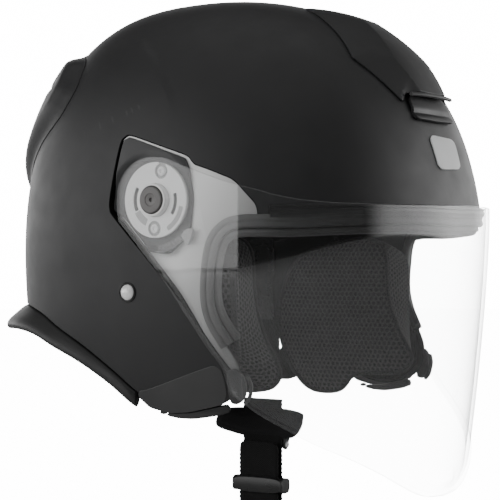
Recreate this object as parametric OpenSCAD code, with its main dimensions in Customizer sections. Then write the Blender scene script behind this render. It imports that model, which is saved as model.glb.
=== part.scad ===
// Open face motorcycle helmet with a long drop-down visor.
// Axes: X = 0 is the centre plane, +X the wearer's left, -Y the front, +Z up.
// Origin: middle of the head cavity, level with the eyes.

/* [Shell] */
// Half of the shell's width at its widest
half_w = 123; // [115:1:128]
// Shell reach forward of its own centre
semi_front = 165; // [158:1:170]
// Shell reach behind its own centre
semi_rear = 96; // [92:1:102]
// Shell height above its own centre
semi_up = 159; // [152:1:164]
// Wall of the outer shell
shell_t = 4; // [3:0.5:4]
// Depth reached by the foam liner's inner face
eps_depth = 30; // [26:1:32]
// Thickness of the comfort padding
comfort_t = 6; // [4:1:8]

/* [Visor] */
// Wall of the clear visor
visor_t = 2.2; // [1.8:0.1:2.6]
// Outer face of the flat side wings, from the centre plane
visor_x = 121.5; // [121:0.5:124]
// Forward reach of the visor from the shell's centre
visor_f = 168.8; // [167:0.1:171]
// Height of the pivot axis
pivot_z = 27; // [25:1:29]
// Fore and aft place of the pivot axis
pivot_y = -16; // [-18:1:-14]
// Radius of the fixed hub that the visor turns on
hub_r = 6.4; // [5:0.1:6.4]
// Running clearance between hub and visor
hub_gap = 0.08; // [0.04:0.01:0.1]

/* [Trim] */
// Stand-out of the rear lip beyond the shell
lip_out = 13; // [8:1:15]
// Height of the raised hood of the top vent
hood_h = 7; // [5:0.5:8]
// Stand-out of the rear exhaust vent
rear_vent_h = 8; // [5:0.5:9]

/* [Chin strap] */
// Width of the webbing
strap_w = 25; // [20:1:25]
// Thickness of the webbing
strap_t = 1.6; // [1.2:0.1:1.8]
// Lowest point of the hanging strap
strap_end_z = -138; // [-150:1:-134]

/* [Hidden] */
$fn = 48;

// shell centre, tilt about X, droop of the rear half, and curve powers
cy = 25; cz = -12; tilt = -5; droop = 30;
semi_down = 200; pow_plan = 2.4; pow_up = 2.5; pow_down = 2.2;
pocket_x = 114.4;   // flat pocket floor under the visor's pivot
strap_x = 78; strap_y = -59.5; strap_top = -80.6; fold_gap = 2.4;

// ---------- base surface ----------
function unit(v) = v / norm(v);
function R0(d) = let(b = d.y < 0 ? semi_front : semi_rear, c = d.z > 0 ? semi_up : semi_down,
  n = d.z > 0 ? pow_up : pow_down,
  h = pow(pow(abs(d.x)/half_w, pow_plan) + pow(abs(d.y)/b, pow_plan), 1/pow_plan))
  pow(pow(h, n) + pow(abs(d.z)/c, n), -1/n);
function S(d, off) = let(q = (R0(d) + off)*d, y = q.y*cos(tilt) - q.z*sin(tilt),
  z = q.y*sin(tilt) + q.z*cos(tilt)) [q.x, y + cy, z + cz - droop*pow(max(y, 0)/100, 2)];
// half width of the shell at a point of the side view
function sx(y, z) = let(y1 = y - cy, z1 = z - cz + droop*pow(max(y1, 0)/100, 2),
  y2 = y1*cos(tilt) + z1*sin(tilt), z2 = -y1*sin(tilt) + z1*cos(tilt),
  b = y2 < 0 ? semi_front : semi_rear, c = z2 > 0 ? semi_up : semi_down, n = z2 > 0 ? pow_up : pow_down,
  u = pow(max(1 - pow(abs(z2)/c, n), 0), pow_plan/n) - pow(abs(y2)/b, pow_plan))
  half_w*pow(max(u, 0), 1/pow_plan);
// direction from azimuth (0 front, +90 the wearer's right) and elevation
function azel(a, e) = [-sin(a)*cos(e), -cos(a)*cos(e), sin(e)];

// ---------- outlines ----------
// pocket of the visor in the side view: [y, z]
pocket = [[13,22],[6.5,15.5],[-8,0],[-28,-21.5],[-40,-38],[-51,-54],[-56,-62],[-62,-68],[-70,-60],
  [-72,20],[-60,36],[-45,42],[-37,45],[-33,50.5],[4.5,63],[9,60]];
trim_out = [[-4,-76.5],[-10,-75.5],[-24,-70.5],[-36,-66],[-50,-61],[-54,-64],[-55.5,-76],[-53.5,-82.5],
  [-44,-85],[-33,-87.5],[-22,-88.5],[-10,-86],[-3,-80]];
function seg_d(p, a, b) = let(ab = b - a, t = max(0, min(1, ((p - a)*ab)/(ab*ab)))) norm(p - a - t*ab);
function crosses(p, a, b) = ((a.y > p.y) != (b.y > p.y)) && (p.x < (b.x - a.x)*(p.y - a.y)/(b.y - a.y) + a.x) ? 1 : 0;
function sum(v, i = 0) = i >= len(v) ? 0 : v[i] + sum(v, i + 1);
function sd(p, poly) = let(n = len(poly)) (sum([for (i = [0:n-1]) crosses(p, poly[i], poly[(i+1)%n])]) % 2 == 1 ? -1 : 1)
  * min([for (i = [0:n-1]) seg_d(p, poly[i], poly[(i+1)%n])]);
// how far the shell is sunk at a point for the pocket, which may be taken wider
function sink(p, wide = 0) = abs(p.x) < 88 || p.z > 75 ? 0 : let(q = [p.y, p.z],
  a = max(0, min(1, (5 + wide - sd(q, pocket))/4)))
  a*max(1, sx(p.y, p.z) - pocket_x);
function sunk(d, off, wide = 0) = let(p = S(d, off), s = sink(S(d, 0), wide)) [p.x - sign(p.x)*s, p.y, p.z];

// lower edges from brow centre round the right side to the rear centre: [azimuth, elevation]
shell_edge = [[0,5],[20,5.5],[38,6.3],[46,7.2],[50,7.6],[53.5,7],[56.3,4],[57.8,-1.5],[58.6,-8],[57.6,-13.5],[54.8,-18.5],[52.5,-23],[53.5,-28],[58,-31],
  [65,-32.5],[72,-32],[79,-29.5],[86,-24.5],[95,-18],[103,-12.5],[111,-6.5],[122,-1],[135,3.5],[150,7],[165,8.5],[180,9]];
eps_edge = [[0,8],[20,8.5],[38,9.5],[47,11],[54,12],[62,12.5],[70,12.5],[80,12],[90,11],[100,10],[111,11],[122,14],[135,17],[150,20],[165,21],[180,21.5]];
liner_edge = [[0,22],[25,23],[50,26],[75,27],[100,26],[125,28],[150,32],[180,34]];

function cr(p0, p1, p2, p3, t) = 0.5*(2*p1 + (p2 - p0)*t + (2*p0 - 5*p1 + 4*p2 - p3)*t*t + (3*p1 - p0 - 3*p2 + p3)*t*t*t);
function refl(p) = [-p[0], p[1]];
function pick(l, i) = i < 0 ? refl(l[-i]) : i >= len(l) ? [360 - l[2*len(l)-2-i][0], l[2*len(l)-2-i][1]] : l[i];
// half edge sampled k times a span
function half_edge(l, k) = [for (i = [0:len(l)-2], j = [0:k-1]) cr(pick(l,i-1), pick(l,i), pick(l,i+1), pick(l,i+2), j/k)];
function full_edge(l, k) = let(h = half_edge(l, k), n = len(h))
  concat(h, [l[len(l)-1]], [for (i = [n-1:-1:1]) [360 - h[i][0], h[i][1]]]);
pole = azel(180, 55);
function slerp(a, b, s) = let(w = acos(max(-1, min(1, a*b)))) (sin((1-s)*w)*a + sin(s*w)*b)/sin(w);

// ---------- closed solids from rings ----------
// rings[j][i] are points from the middle outwards; c is the middle point
module star(co, ci, ro, ri, flip = false) {
  m = len(ro); n = len(ro[0]);
  pts = concat([co, ci], [for (j = [0:m-1], i = [0:n-1]) ro[j][i]], [for (j = [0:m-1], i = [0:n-1]) ri[j][i]]);
  function o(j, i) = 2 + j*n + (i % n);
  function u(j, i) = 2 + m*n + j*n + (i % n);
  f = concat(
    [for (i = [0:n-1]) [0, o(0,i), o(0,i+1)]],
    [for (i = [0:n-1]) [1, u(0,i+1), u(0,i)]],
    [for (j = [0:m-2], i = [0:n-1]) [o(j,i), o(j+1,i), o(j+1,i+1)]],
    [for (j = [0:m-2], i = [0:n-1]) [o(j,i), o(j+1,i+1), o(j,i+1)]],
    [for (j = [0:m-2], i = [0:n-1]) [u(j,i), u(j+1,i+1), u(j+1,i)]],
    [for (j = [0:m-2], i = [0:n-1]) [u(j,i), u(j,i+1), u(j+1,i+1)]],
    [for (i = [0:n-1]) [o(m-1,i), u(m-1,i), u(m-1,i+1)]],
    [for (i = [0:n-1]) [o(m-1,i), u(m-1,i+1), o(m-1,i+1)]]);
  polyhedron(pts, flip ? [for (t = f) [t[0], t[2], t[1]]] : f, convexity = 8);
}
// closed solid swept through rings of a section: r[i][j], open ended or looped
module sweep(r, loop = false, flip = false) {
  n = len(r); k = len(r[0]);
  function id(i, j) = (i % n)*k + (j % k);
  side = [for (i = [0:(loop ? n-1 : n-2)], j = [0:k-1], h = [0,1])
    h == 0 ? [id(i,j), id(i+1,j), id(i+1,j+1)] : [id(i,j), id(i+1,j+1), id(i,j+1)]];
  caps = loop ? [] : concat([for (j = [1:k-2]) [0, j, j+1]], [for (j = [1:k-2]) [(n-1)*k, (n-1)*k + j + 1, (n-1)*k + j]]);
  f = concat(side, caps);
  polyhedron([for (a = r, b = a) b], flip ? [for (t = f) [t[0], t[2], t[1]]] : f, convexity = 8);
}
// dome between two depths over an edge
module dome(edge, k, rows, off_o, off_i, sunken, wide = 0) {
  e = [for (p = full_edge(edge, k)) azel(p[0], p[1])];
  lv = [for (j = [1:rows]) j/rows];
  star(S(pole, off_o), S(pole, off_i),
    [for (s = lv) [for (d = e) let(q = slerp(pole, d, s)) sunken ? sunk(q, off_o, wide) : S(q, off_o)]],
    [for (s = lv) [for (d = e) let(q = slerp(pole, d, s)) sunken && off_i > -12 ? sunk(q, off_i) : S(q, off_i)]]);
}
// plate on the right side over an outline in the side view; fo, fi give |x| for a point
function ring2(poly, c, s) = [for (p = poly) c + (p - c)*s];
module side_plate(poly, c, rows, oo, oi, flat_x = 999) {
  function px(q, off) = [-min(sx(q.x, q.y) + off, flat_x), q.x, q.y];
  ts = oo - oi;
  function pin(q) = let(a = px(q, oo)) [a.x + ts, q.x, q.y];
  lv = [for (j = [1:rows]) j/rows];
  star(px(c, oo), pin(c), [for (s = lv) [for (q = ring2(poly, c, s)) px(q, oo)]],
    [for (s = lv) [for (q = ring2(poly, c, s)) pin(q)]], true);
}
module left() { mirror([1, 0, 0]) children(); }
module xcyl(r, x0, x1, y, z) { translate([min(x0, x1), y, z]) rotate([0, 90, 0]) cylinder(r = r, h = abs(x1 - x0)); }

// ---------- shell and liners ----------
module outer_shell() {
  color([0.06, 0.06, 0.065]) dome(shell_edge, 2, 13, 0, -shell_t, true);
}
module eps_liner() { color([0.16, 0.16, 0.17]) dome(eps_edge, 2, 12, -shell_t - 1.6, -eps_depth, true, 13); }
module comfort_liner() { color([0.09, 0.09, 0.1]) dome(liner_edge, 4, 9, -eps_depth - 2, -eps_depth - comfort_t, false); }
module headband_pad() {
  e = full_edge(eps_edge, 2);
  function p(q, up, off) = S(azel(q[0], q[1] + up), off);
  color([0.08, 0.08, 0.085]) sweep([for (q = e) [p(q, 1.5, -eps_depth-1.5), p(q, 9.5, -eps_depth-1.5),
    p(q, 9, -eps_depth-6), p(q, 5.5, -eps_depth-8), p(q, 2, -eps_depth-6)]], true, true);
}
// rear padding below the foam
module neck_roll() {
  color([0.07, 0.07, 0.075]) sweep([for (a = [118:6:242]) let(m = 180 - abs(180 - a),
    e = lookup(m, [[118,-2.5],[122,-1],[135,3.5],[150,7],[165,8.5],[180,9]]), w = min(1, (m - 114)/14))
    [for (t = [0:30:330]) S(azel(a, e + 5.6 + 3.6*w*sin(t)), -15 - 9.5*w*cos(t))]], false, true);
}
pad_in = [[-52,10],[-52.5,-27],[-60,-49],[-70,-64],[-70,-71],[-62,-77.5],[-28,-78],[-22,-88],[-14,-91.5],[4,-91],[16,-80],[27,-60],[28,-34],[16,-4],[-10,4]];
pad_out = [[-55,3],[-56,-27],[-57,-48],[-58,-58],[-55,-62],[-45,-63],[-30,-63],[-24,-66],[-15,-68],[0,-66],[9,-58],[15,-46],[15,-24],[10,-2],[-10,0]];
module cheek_pad_r() {
  lv = [0.35, 0.7, 0.92, 1];
  ci = [-28, -34];
  function xi(s) = 72 + 6*pow(s, 6);
  star([-(sx(ci.x, ci.y) - 12), ci.x, ci.y], [-xi(0), ci.x, ci.y],
    [for (s = lv) [for (q = ring2(pad_out, ci, s)) [-(min(sx(q.x, q.y), sx(-40, q.y)) - 12.5), q.x, q.y]]],
    [for (s = lv) [for (q = ring2(pad_in, ci, s)) [-xi(s), q.x, q.y]]], false);
}
module cheek_pad_right() { color([0.13, 0.13, 0.14]) cheek_pad_r(); }
module cheek_pad_left() { color([0.13, 0.13, 0.14]) left() cheek_pad_r(); }
module cheek_pad_snaps() {
  color([0.2, 0.2, 0.2]) for (s = [-1, 1], p = [[-30, -8], [-40, -30], [-42, -50]])
    xcyl(4.5, s*(min(sx(p.x, p.y), sx(-40, p.y)) - 11.6), s*(sx(p.x, p.y) - 9), p.x, p.y);
}

// ---------- edge trims ----------
// local frame along the shell edge: outward, and across the edge away from the shell
function edge_pt(q) = sunk(azel(q[0], q[1]), 0);
module edge_sweep(pts, sec) {
  n = len(pts);
  p = [for (q = pts) edge_pt(q)];
  sweep([for (i = [0:n-1]) let(t = unit(p[min(n-1, i+1)] - p[max(0, i-1)]),
      nn = unit(p[i] - [0, cy, cz]), o = unit(nn - (nn*t)*t), u = cross(t, o))
    [for (s = sec) p[i] + o*s[0] + u*s[1]]], false, true);
}
function port_edge(a) = let(h = half_edge(shell_edge, 2), r = [for (i = [0:a]) h[i]])
  concat([for (i = [len(r)-1:-1:1]) [-r[i][0], r[i][1]]], r);
module eyeport_trim() {
  color([0.05, 0.05, 0.05]) edge_sweep(port_edge(20), [[-4.6,-0.4],[0.6,-0.4],[1.1,-1.6],[0.4,-3.4],[-4.2,-3.6],[-5,-2]]);
}
module brow_seal() {
  color([0.04, 0.04, 0.04]) sweep([for (a = [-44:4:44]) let(w = 1 - pow(abs(a)/60, 2),
    b = lookup(abs(a), [[0,5.6],[20,6.1],[38,6.9],[44,7.5]]), t = lookup(abs(a), [[0,7.5],[20,8],[38,9.6],[44,10.2]]))
    [S(azel(a, b), 0.4), S(azel(a, t), 0.4), S(azel(a, t - 0.2), 0.9), S(azel(a, t - 0.6), 0.9 + 1.6*w),
     S(azel(a, b + 0.5), 0.9 + 1.6*w), S(azel(a, b), 0.9 + 0.6*w)]], false, true);
}
module bottom_trim() {
  h = half_edge(shell_edge, 2);
  r = [for (q = h) if (q[0] >= 79.5) q];
  n = len(r);
  e = concat(r, [[180, 9]], [for (i = [n-1:-1:0]) [360 - r[i][0], r[i][1]]]);
  function lip(a) = let(m = 180 - abs(180 - a)) pow(max(0, min(1, (m - 86)/40)), 1.3);
  color([0.09, 0.09, 0.09]) sweep([for (q = e) let(w = lip(q[0]), p = edge_pt(q), o = unit([p.x, p.y - cy, 0]))
    [for (s = [[-5,-0.5],[0.4,-0.5],[1.6 + 0.3*lip_out*w, -2.5 - 2*w],[2 + (lip_out - 2)*w, -7 - 4*w],
      [0.5 + (lip_out - 3)*w, -10 - 6*w],[-5,-8 - 3*w]]) p + o*s[0] + [0, 0, s[1]]]], false, true);
}
module side_trim_r() { side_plate(trim_out, [-30, -76], 4, 2, 0.5); }
module side_trim_right() { color([0.16, 0.16, 0.165]) side_trim_r(); }
module side_trim_left() { color([0.16, 0.16, 0.165]) left() side_trim_r(); }
end_out = [[-58,-64.5],[-62,-63],[-66,-66],[-67.5,-72],[-66,-79],[-62,-82],[-58,-81]];
module side_trim_end_r() { side_plate(end_out, [-62, -72.5], 2, 2.2, 0.4); }
module side_trim_end_right() { color([0.2, 0.2, 0.2]) side_trim_end_r(); }
module side_trim_end_left() { color([0.2, 0.2, 0.2]) left() side_trim_end_r(); }

// ---------- visor and its mechanism ----------
cover_out = [[2,19],[-1,24.5],[1.5,30],[3.5,44.5],[6.5,49],[7.5,57.5],[4,61],[-32,49],[-37,43],[-40,27],[-38,12],[-26,0],[-9,1.5],[1,13.5]];
module side_cover_r() {
  difference() {
    side_plate(ring2(cover_out, [-14, 29], 0.9), [-14, 29], 4, 1, 0.1, pocket_x + 1.5);
    for (z = [42.5, 11.5]) xcyl(1.6, -130, -100, pivot_y + (z > 27 ? -4 : 0.5), z);
  }
}
module side_cover_right() { color([0.08, 0.08, 0.085]) side_cover_r(); }
module side_cover_left() { color([0.08, 0.08, 0.085]) left() side_cover_r(); }
plate_x0 = pocket_x + 1.8; plate_x1 = visor_x - visor_t - 0.4;
module base_plate_r() {
  difference() {
    union() {
      xcyl(20.5, -plate_x0, -plate_x1, pivot_y, pivot_z);
      xcyl(hub_r, -plate_x0, -visor_x - 0.5, pivot_y, pivot_z);
    }
    for (z = [42.5, 11.5]) { xcyl(1.6, -130, -100, pivot_y + (z > 27 ? -4 : 0.5), z);
      xcyl(3.4, -130, -plate_x1 + 1.5, pivot_y + (z > 27 ? -4 : 0.5), z); }
    for (a = [150:10:200], b = [330:10:380]) for (t = [a, b])
      xcyl(1.1, -130, -plate_x1 + 1.2, pivot_y - 13*cos(t), pivot_z + 13*sin(t));
    xcyl(2.2, -130, -visor_x + 3, pivot_y, pivot_z);
  }
}
module visor_base_plate_right() { color([0.62, 0.62, 0.62]) base_plate_r(); }
module visor_base_plate_left() { color([0.62, 0.62, 0.62]) left() base_plate_r(); }
module base_plate_screws() {
  color([0.85, 0.85, 0.85]) for (s = [-1, 1], z = [42.5, 11.5]) let(y = pivot_y + (z > 27 ? -4 : 0.5)) {
    xcyl(3.2, s*(plate_x1 - 1.45), s*plate_x1, y, z);
    xcyl(1.5, s*(plate_x0 - 1.1), s*(plate_x1 - 1.4), y, z);
  }
}
// springy finger that clicks over the visor's teeth
module pawl_r() {
  translate([0.9 - plate_x1, pivot_y, pivot_z]) rotate([-52, 0, 0]) rotate([0, 90, 0]) linear_extrude(1.8)
    polygon([[-2.5,-20.9],[2.5,-20.9],[3,-22.5],[1,-24],[0,-25],[-1,-24],[-3,-22.5]]);
}
module detent_pawl_right() { color([0.55, 0.55, 0.55]) pawl_r(); }
module detent_pawl_left() { color([0.55, 0.55, 0.55]) left() pawl_r(); }
module cap_r() {
  difference() {
    union() { xcyl(7.3, -visor_x - 0.6, -visor_x - 2, pivot_y, pivot_z); xcyl(2.1, -visor_x + 2.5, -visor_x - 1, pivot_y, pivot_z); }
    xcyl(0.9, -visor_x - 1.2, -visor_x - 3, pivot_y, pivot_z);
  }
}
module pivot_cap_right() { color([0.25, 0.25, 0.25]) cap_r(); }
module pivot_cap_left() { color([0.25, 0.25, 0.25]) left() cap_r(); }

bend_y = -68;
function wing(y, z) = visor_x - 0.16*max(-37 - y, 0) - 0.0007*pow(max(4 - z, 0), 2);
function reach(z) = visor_f - 13*pow(max(15 - z, 0)/140, 1.3);
// visor point, u from 0 at the front centre to 1 at the bend, then side distance y
function vfront(u, z, off) = let(f = reach(z), k = (cy - bend_y)/f, w = wing(bend_y, z)/pow(1 - pow(k, 2.2), 1/2.2),
  am = atan2(wing(bend_y, z), cy - bend_y), a = u*am,
  r = pow(pow(sin(a)/w, 2.2) + pow(cos(a)/f, 2.2), -1/2.2) + off) [-r*sin(a), cy - r*cos(a), z];
function vside(y, z, off) = [-(wing(y, z) + off), y, z];
// top and bottom edges: by fraction of the front, and by y on the wing
top_f = [[0,25],[0.2,24.6],[0.4,24.5],[0.6,25],[0.75,26.5],[0.85,29],[0.93,32],[1,34.4]];
bot_f = [[0,-138],[0.12,-137],[0.2,-134.5],[0.3,-129],[0.42,-121],[0.57,-111.5],[0.7,-104],[0.84,-94.5],[0.95,-86],[1,-80.5]];
top_w = [[-68,34.4],[-60.8,36.2],[-46.4,41.2],[-38,44.3],[-31,47],[-22,50],[-14.7,50.6],[-6,48.8],[-1,46],[3,42],[6,37.5],[7.6,32],[7.9,27]];
bot_w = [[-68,-80.5],[-64.8,-78.5],[-62,-77],[-60.5,-74],[-59.5,-71],[-58,-64.4],[-55,-59],[-50.7,-54],[-39.8,-38],[-27.6,-21.4],[-18.6,-10.7],[-8,0],[3.5,10.5],[6,14.5],[7.6,20],[7.9,27]];
wing_y = [-65,-61,-57,-52,-47,-42,-37];
module visor() {
  nr = 12;
  fu = [for (i = [0:14]) i/14];
  // columns from the front centre to where the flat hinge plate starts
  function col(i, off) = i <= 14 ? [for (k = [0:nr]) let(z0 = lookup(fu[i], bot_f), z1 = lookup(fu[i], top_f)) vfront(fu[i], z0 + (z1 - z0)*k/nr, off)]
    : let(y = wing_y[i-15], z0 = lookup(y, bot_w), z1 = lookup(y, top_w)) [for (k = [0:nr]) vside(y, z0 + (z1 - z0)*k/nr, off)];
  m = 14 + len(wing_y);
  function neg(c) = [for (p = c) [-p.x, p.y, p.z]];
  function cols(off) = concat([for (i = [m:-1:1]) col(i, off)], [for (i = [0:m]) neg(col(i, off))]);
  o = cols(0); q = cols(-visor_t);
  color([0.85, 0.87, 0.88, 0.4]) {
    sweep([for (i = [0:len(o)-1]) concat(o[i], [for (k = [nr:-1:0]) q[i][k]])], false, true);
    for (s = [0, 1]) mirror([s, 0, 0]) translate([-visor_x, 0, 0]) rotate([90, 0, 90]) linear_extrude(visor_t) difference() {
      polygon(concat([for (p = bot_w) if (p[0] > -36) p], [for (i = [len(top_w)-1:-1:0]) if (top_w[i][0] > -36 && top_w[i][0] < 7.8) top_w[i]],
        [[-37, lookup(-37, top_w)], [-37, lookup(-37, bot_w)]]));
      translate([pivot_y, pivot_z]) circle(hub_r + hub_gap);
    }
  }
}

// ---------- vents and badge ----------
hood = [[-12,58],[0,60],[12,58],[15,50],[18.5,38],[14,33],[10.5,29.2],[5,28.9],[0,28.8],[-5,28.9],[-10.5,29.2],[-14,33],[-18.5,38],[-15,50]];
module az_plate(poly, c, lv, fo, fi, flip = false) {
  star(S(azel(c[0], c[1]), fo[0]), S(azel(c[0], c[1]), fi[0]),
    [for (j = [0:len(lv)-1]) [for (i = [0:len(poly)-1]) let(q = c + (poly[i] - c)*lv[j]) S(azel(q[0], q[1]), fo[j+1] + (len(fo) > 9 ? 0 : 0))]],
    [for (j = [0:len(lv)-1]) [for (i = [0:len(poly)-1]) let(q = c + (poly[i] - c)*lv[j]) S(azel(q[0], q[1]), fi[j+1])]], flip);
}
module top_vent_housing() {
  c = [0, 42]; n = len(hood); lv = [0.4, 0.7, 0.86, 1];
  // the front edge of the hood is open, the other edges come down to the shell
  function edge_h(i) = (i >= 6 && i <= 10) ? 5.2 : 1;
  function ho(i, s) = s > 0.99 ? edge_h(i) : s > 0.8 ? (edge_h(i) + hood_h)/2 + 1 : hood_h;
  function hi(i, s) = s > 0.99 ? (edge_h(i) > 2 ? 3.4 : 0.4) : ho(i, s) - 1.8;
  color([0.06, 0.06, 0.065]) star(S(azel(0, 42), hood_h), S(azel(0, 42), hood_h - 1.8),
    [for (s = lv) [for (i = [0:n-1]) let(q = c + (hood[i] - c)*s) S(azel(q[0], q[1]), ho(i, s))]],
    [for (s = lv) [for (i = [0:n-1]) let(q = c + (hood[i] - c)*s) S(azel(q[0], q[1]), hi(i, s))]]);
}
module top_vent_slider() {
  p = [[-8.5,24.2],[-8.2,28.6],[-5,30.2],[5,30.2],[8.2,28.6],[8.5,24.2],[0,24]];
  color([0.1, 0.1, 0.105]) az_plate(p, [0, 27], [0.6, 1], [2.7, 2.7, 2.3], [0.9, 0.9, 0.9]);
}
rvent = [[100,47],[103,55],[118,62],[145,67],[180,69],[215,67],[242,62],[257,55],[260,47],[255,40],[235,35],[205,32.5],[180,32],[155,32.5],[125,35],[105,40]];
// thin-walled duct, its rim down on the shell
module rear_vent() {
  c = [180, 50]; h = rear_vent_h; n = len(rvent); fine = [for (i = [0:n-1], k = [0:3]) rvent[i] + (rvent[(i+1)%n] - rvent[i])*k/4]; lv = [[0.3,h,h-2],[0.6,h,h-2],[0.86,h,h-2],[0.93,0.85*h,0.85*h-2.4],[0.97,0.5*h,0.5*h-2.4],[1,1.9,0.8]];
  function ring(k) = [for (t = lv) [for (q0 = fine) let(q = c + (q0 - c)*t[0]) S(azel(q[0], q[1]), t[k])]];
  color([0.07, 0.07, 0.075]) star(S(azel(180, 50), h), S(azel(180, 50), h - 2), ring(1), ring(2));
}
module brow_badge() {
  color([0.75, 0.75, 0.75]) az_plate([[-5.5,15],[-6,21],[5,21.5],[4.5,14.6]], [0, 18], [0.5, 1], [0.9, 0.9, 0.9], [0.3, 0.3, 0.3], true);
}

// ---------- chin strap ----------
module strap_rivets() {
  x = sx(0, -23);
  color([0.9, 0.9, 0.9]) for (s = [-1, 1]) translate([s*x, 0, -23]) rotate([0, s*90, 0]) rotate_extrude($fn = 32)
    polygon([[0,-11.8],[4.4,-11.8],[4.4,-10.7],[2.4,-10.7],[2.4,0.25],[4.4,0.25],[4.1,1.1],[3.3,1.8],[2,2.3],[0.7,2.5],[0,2.5]]);
}
module strap_anchor_plates() {
  x = sx(0, -23) - 6.2;
  color([0.6, 0.6, 0.62]) for (s = [-1, 1]) difference() {
    translate([s*x, 0, -23]) cube([1.5, 15, 17], center = true);
    xcyl(2.5, s*(x - 4), s*(x + 4), 0, -23);
  }
}
// band along a path of [x, y, z, lean of its width in the side view]
module band(path, th, w) {
  n = len(path);
  sweep([for (i = [0:n-1]) let(p = [path[i][0], path[i][1], path[i][2]], b = path[i][3],
      t0 = path[min(n-1, i+1)], t1 = path[max(0, i-1)], t = unit([t0[0]-t1[0], t0[1]-t1[1], t0[2]-t1[2]]),
      w0 = [0, cos(b), sin(b)], wv = unit(w0 - (w0*t)*t), nv = unit(cross(t, wv)))
    [for (s = [[1,1],[1,-1],[-1,-1],[-1,1]]) p + wv*(s[0]*w/2) + nv*(s[1]*th/2)]], false, true);
}
up_r = [[-114,2,-12,-9],[-114,0,-24,-12],[-113.6,-4,-36,-22],[-112.2,-11,-47,-34],[-108.5,-20,-57,-42],[-103,-29,-66,-44],[-96.5,-38,-73,-36],[-88,-47,-76,-20],[-81,-54,-76,-4]];
up_l = [[114,-2,-12,9],[114,0,-24,14],[113.2,5,-36,26],[108.5,14,-52,38],[97,24,-69,34],[84,31,-78.5,16],[74.5,35,-81.8,2]];
module right_strap_upper() { color([0.05, 0.05, 0.05]) difference() { band(up_r, strap_t, strap_w); xcyl(2.6, -120, -108, 0, -23); } }
module left_strap_upper() { color([0.05, 0.05, 0.05]) difference() { band(up_l, strap_t, strap_w); xcyl(2.6, 108, 120, 0, -23); } }
module along_y(y0, y1) { translate([0, y1, 0]) rotate([90, 0, 0]) linear_extrude(y1 - y0) children(); }
// hanging webbing: down, round a fold and back up to a loose tip
module right_strap() {
  t = strap_t; r = fold_gap/2; c = -strap_x - t - r; z = strap_end_z + r + t;
  color([0.04, 0.04, 0.04]) along_y(strap_y - strap_w/2, strap_y + strap_w/2) translate([-strap_x - t/2, strap_top]) circle(t/2);
  color([0.04, 0.04, 0.04]) along_y(strap_y - strap_w/2, strap_y + strap_w/2)
    polygon(concat([[-strap_x, strap_top]], [for (a = [0:-20:-180]) [c + (r + t)*cos(a), z + (r + t)*sin(a)]],
      [[c - r - t, -104], [c - r, -104]], [for (a = [-180:20:0]) [c + r*cos(a), z + r*sin(a)]], [[c + r, strap_top]]));
}
module right_strap_pad() {
  color([0.07, 0.07, 0.07]) translate([-strap_x + 0.4, 0, 0]) rotate([90, 0, 90]) linear_extrude(2.4)
    polygon([[-85,-86],[-83,-97],[-77,-103],[-50,-103],[-27,-98.5],[-31,-87],[-33,-86]]);
}
// three-bar adjuster that the webbing threads through
module strap_slider() {
  c = -strap_x - strap_t - fold_gap/2;
  color([0.03, 0.03, 0.03]) difference() {
    translate([c - 4.6, strap_y - 16, -131.5]) cube([9.2, 32, 8.5]);
    for (s = [-1, 1]) translate([c + s*(fold_gap + strap_t)/2 - 1.1, strap_y - 12.9, -140]) cube([2.2, 25.8, 20]);
  }
}
pin1 = [-69.5, -99]; pin2 = [-72.2, -106];
module buckle_frame() {
  color([0.12, 0.12, 0.12]) {
    for (y = [[-70.5, -69.3], [-49.7, -48.5]]) difference() {
      along_y(y[0], y[1]) hull() { translate(pin1) circle(3, $fn = 32); translate(pin2) circle(2.8, $fn = 32); translate([-72.4, -89]) circle(2.4, $fn = 32); }
      for (p = [pin1, pin2]) along_y(-75, -45) translate(p) circle(1.03);
    }
    translate([-75, -69.3, -104]) cube([0.9, 19.6, 16.5]);
  }
}
module buckle_pins() {
  color([0.85, 0.85, 0.85]) for (p = [pin1, pin2]) {
    along_y(-70.9, -48.1) translate(p) circle(1);
    along_y(-71.5, -70.7) translate(p) circle(1.7);
    along_y(-48.3, -47.5) translate(p) circle(1.7);
  }
}
module buckle_lever() {
  color([0.05, 0.05, 0.05]) difference() {
    union() {
      along_y(-68.9, -50.1) translate(pin1) circle(2.2);
      translate([-69.4, -68.9, -99]) cube([1.6, 18.8, 12]);
      translate([-68.9, -68.9, -103.5]) cube([1.2, 18.8, 4.5]);
    }
    along_y(-75, -45) translate(pin1) circle(1.08);
  }
}
module buckle_pull_tab() {
  color([0.6, 0.05, 0.04]) translate([-67.3, -67, -104.1]) cube([1.4, 15, 5.6]);
}
// webbing of the other side, folded up inside the cavity
module left_strap() {
  color([0.04, 0.04, 0.04]) { translate([69.2, 22.5, -79.6]) cube([1.6, strap_w, 58]); along_y(22.5, 22.5 + strap_w) translate([70, -79.6]) circle(0.8); }
}
module buckle_tongue() {
  color([0.1, 0.1, 0.1]) {
    translate([67.2, 26, -45]) cube([1.6, 18, 52]);
    for (i = [0:8]) translate([66.3, 29, -24 + 3*i]) cube([1.1, 12, 1.5]);
  }
}

outer_shell();
eps_liner();
comfort_liner();
headband_pad();
neck_roll();
cheek_pad_right();
cheek_pad_left();
cheek_pad_snaps();
eyeport_trim();
brow_seal();
bottom_trim();
side_trim_right();
side_trim_left();
side_trim_end_right();
side_trim_end_left();
side_cover_right();
side_cover_left();
visor_base_plate_right();
visor_base_plate_left();
base_plate_screws();
detent_pawl_right();
detent_pawl_left();
pivot_cap_right();
pivot_cap_left();
visor();
top_vent_housing();
top_vent_slider();
rear_vent();
brow_badge();
strap_rivets();
strap_anchor_plates();
right_strap_upper();
left_strap_upper();
right_strap();
right_strap_pad();
strap_slider();
buckle_frame();
buckle_lever();
buckle_pins();
buckle_pull_tab();
left_strap();
buckle_tongue();
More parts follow.
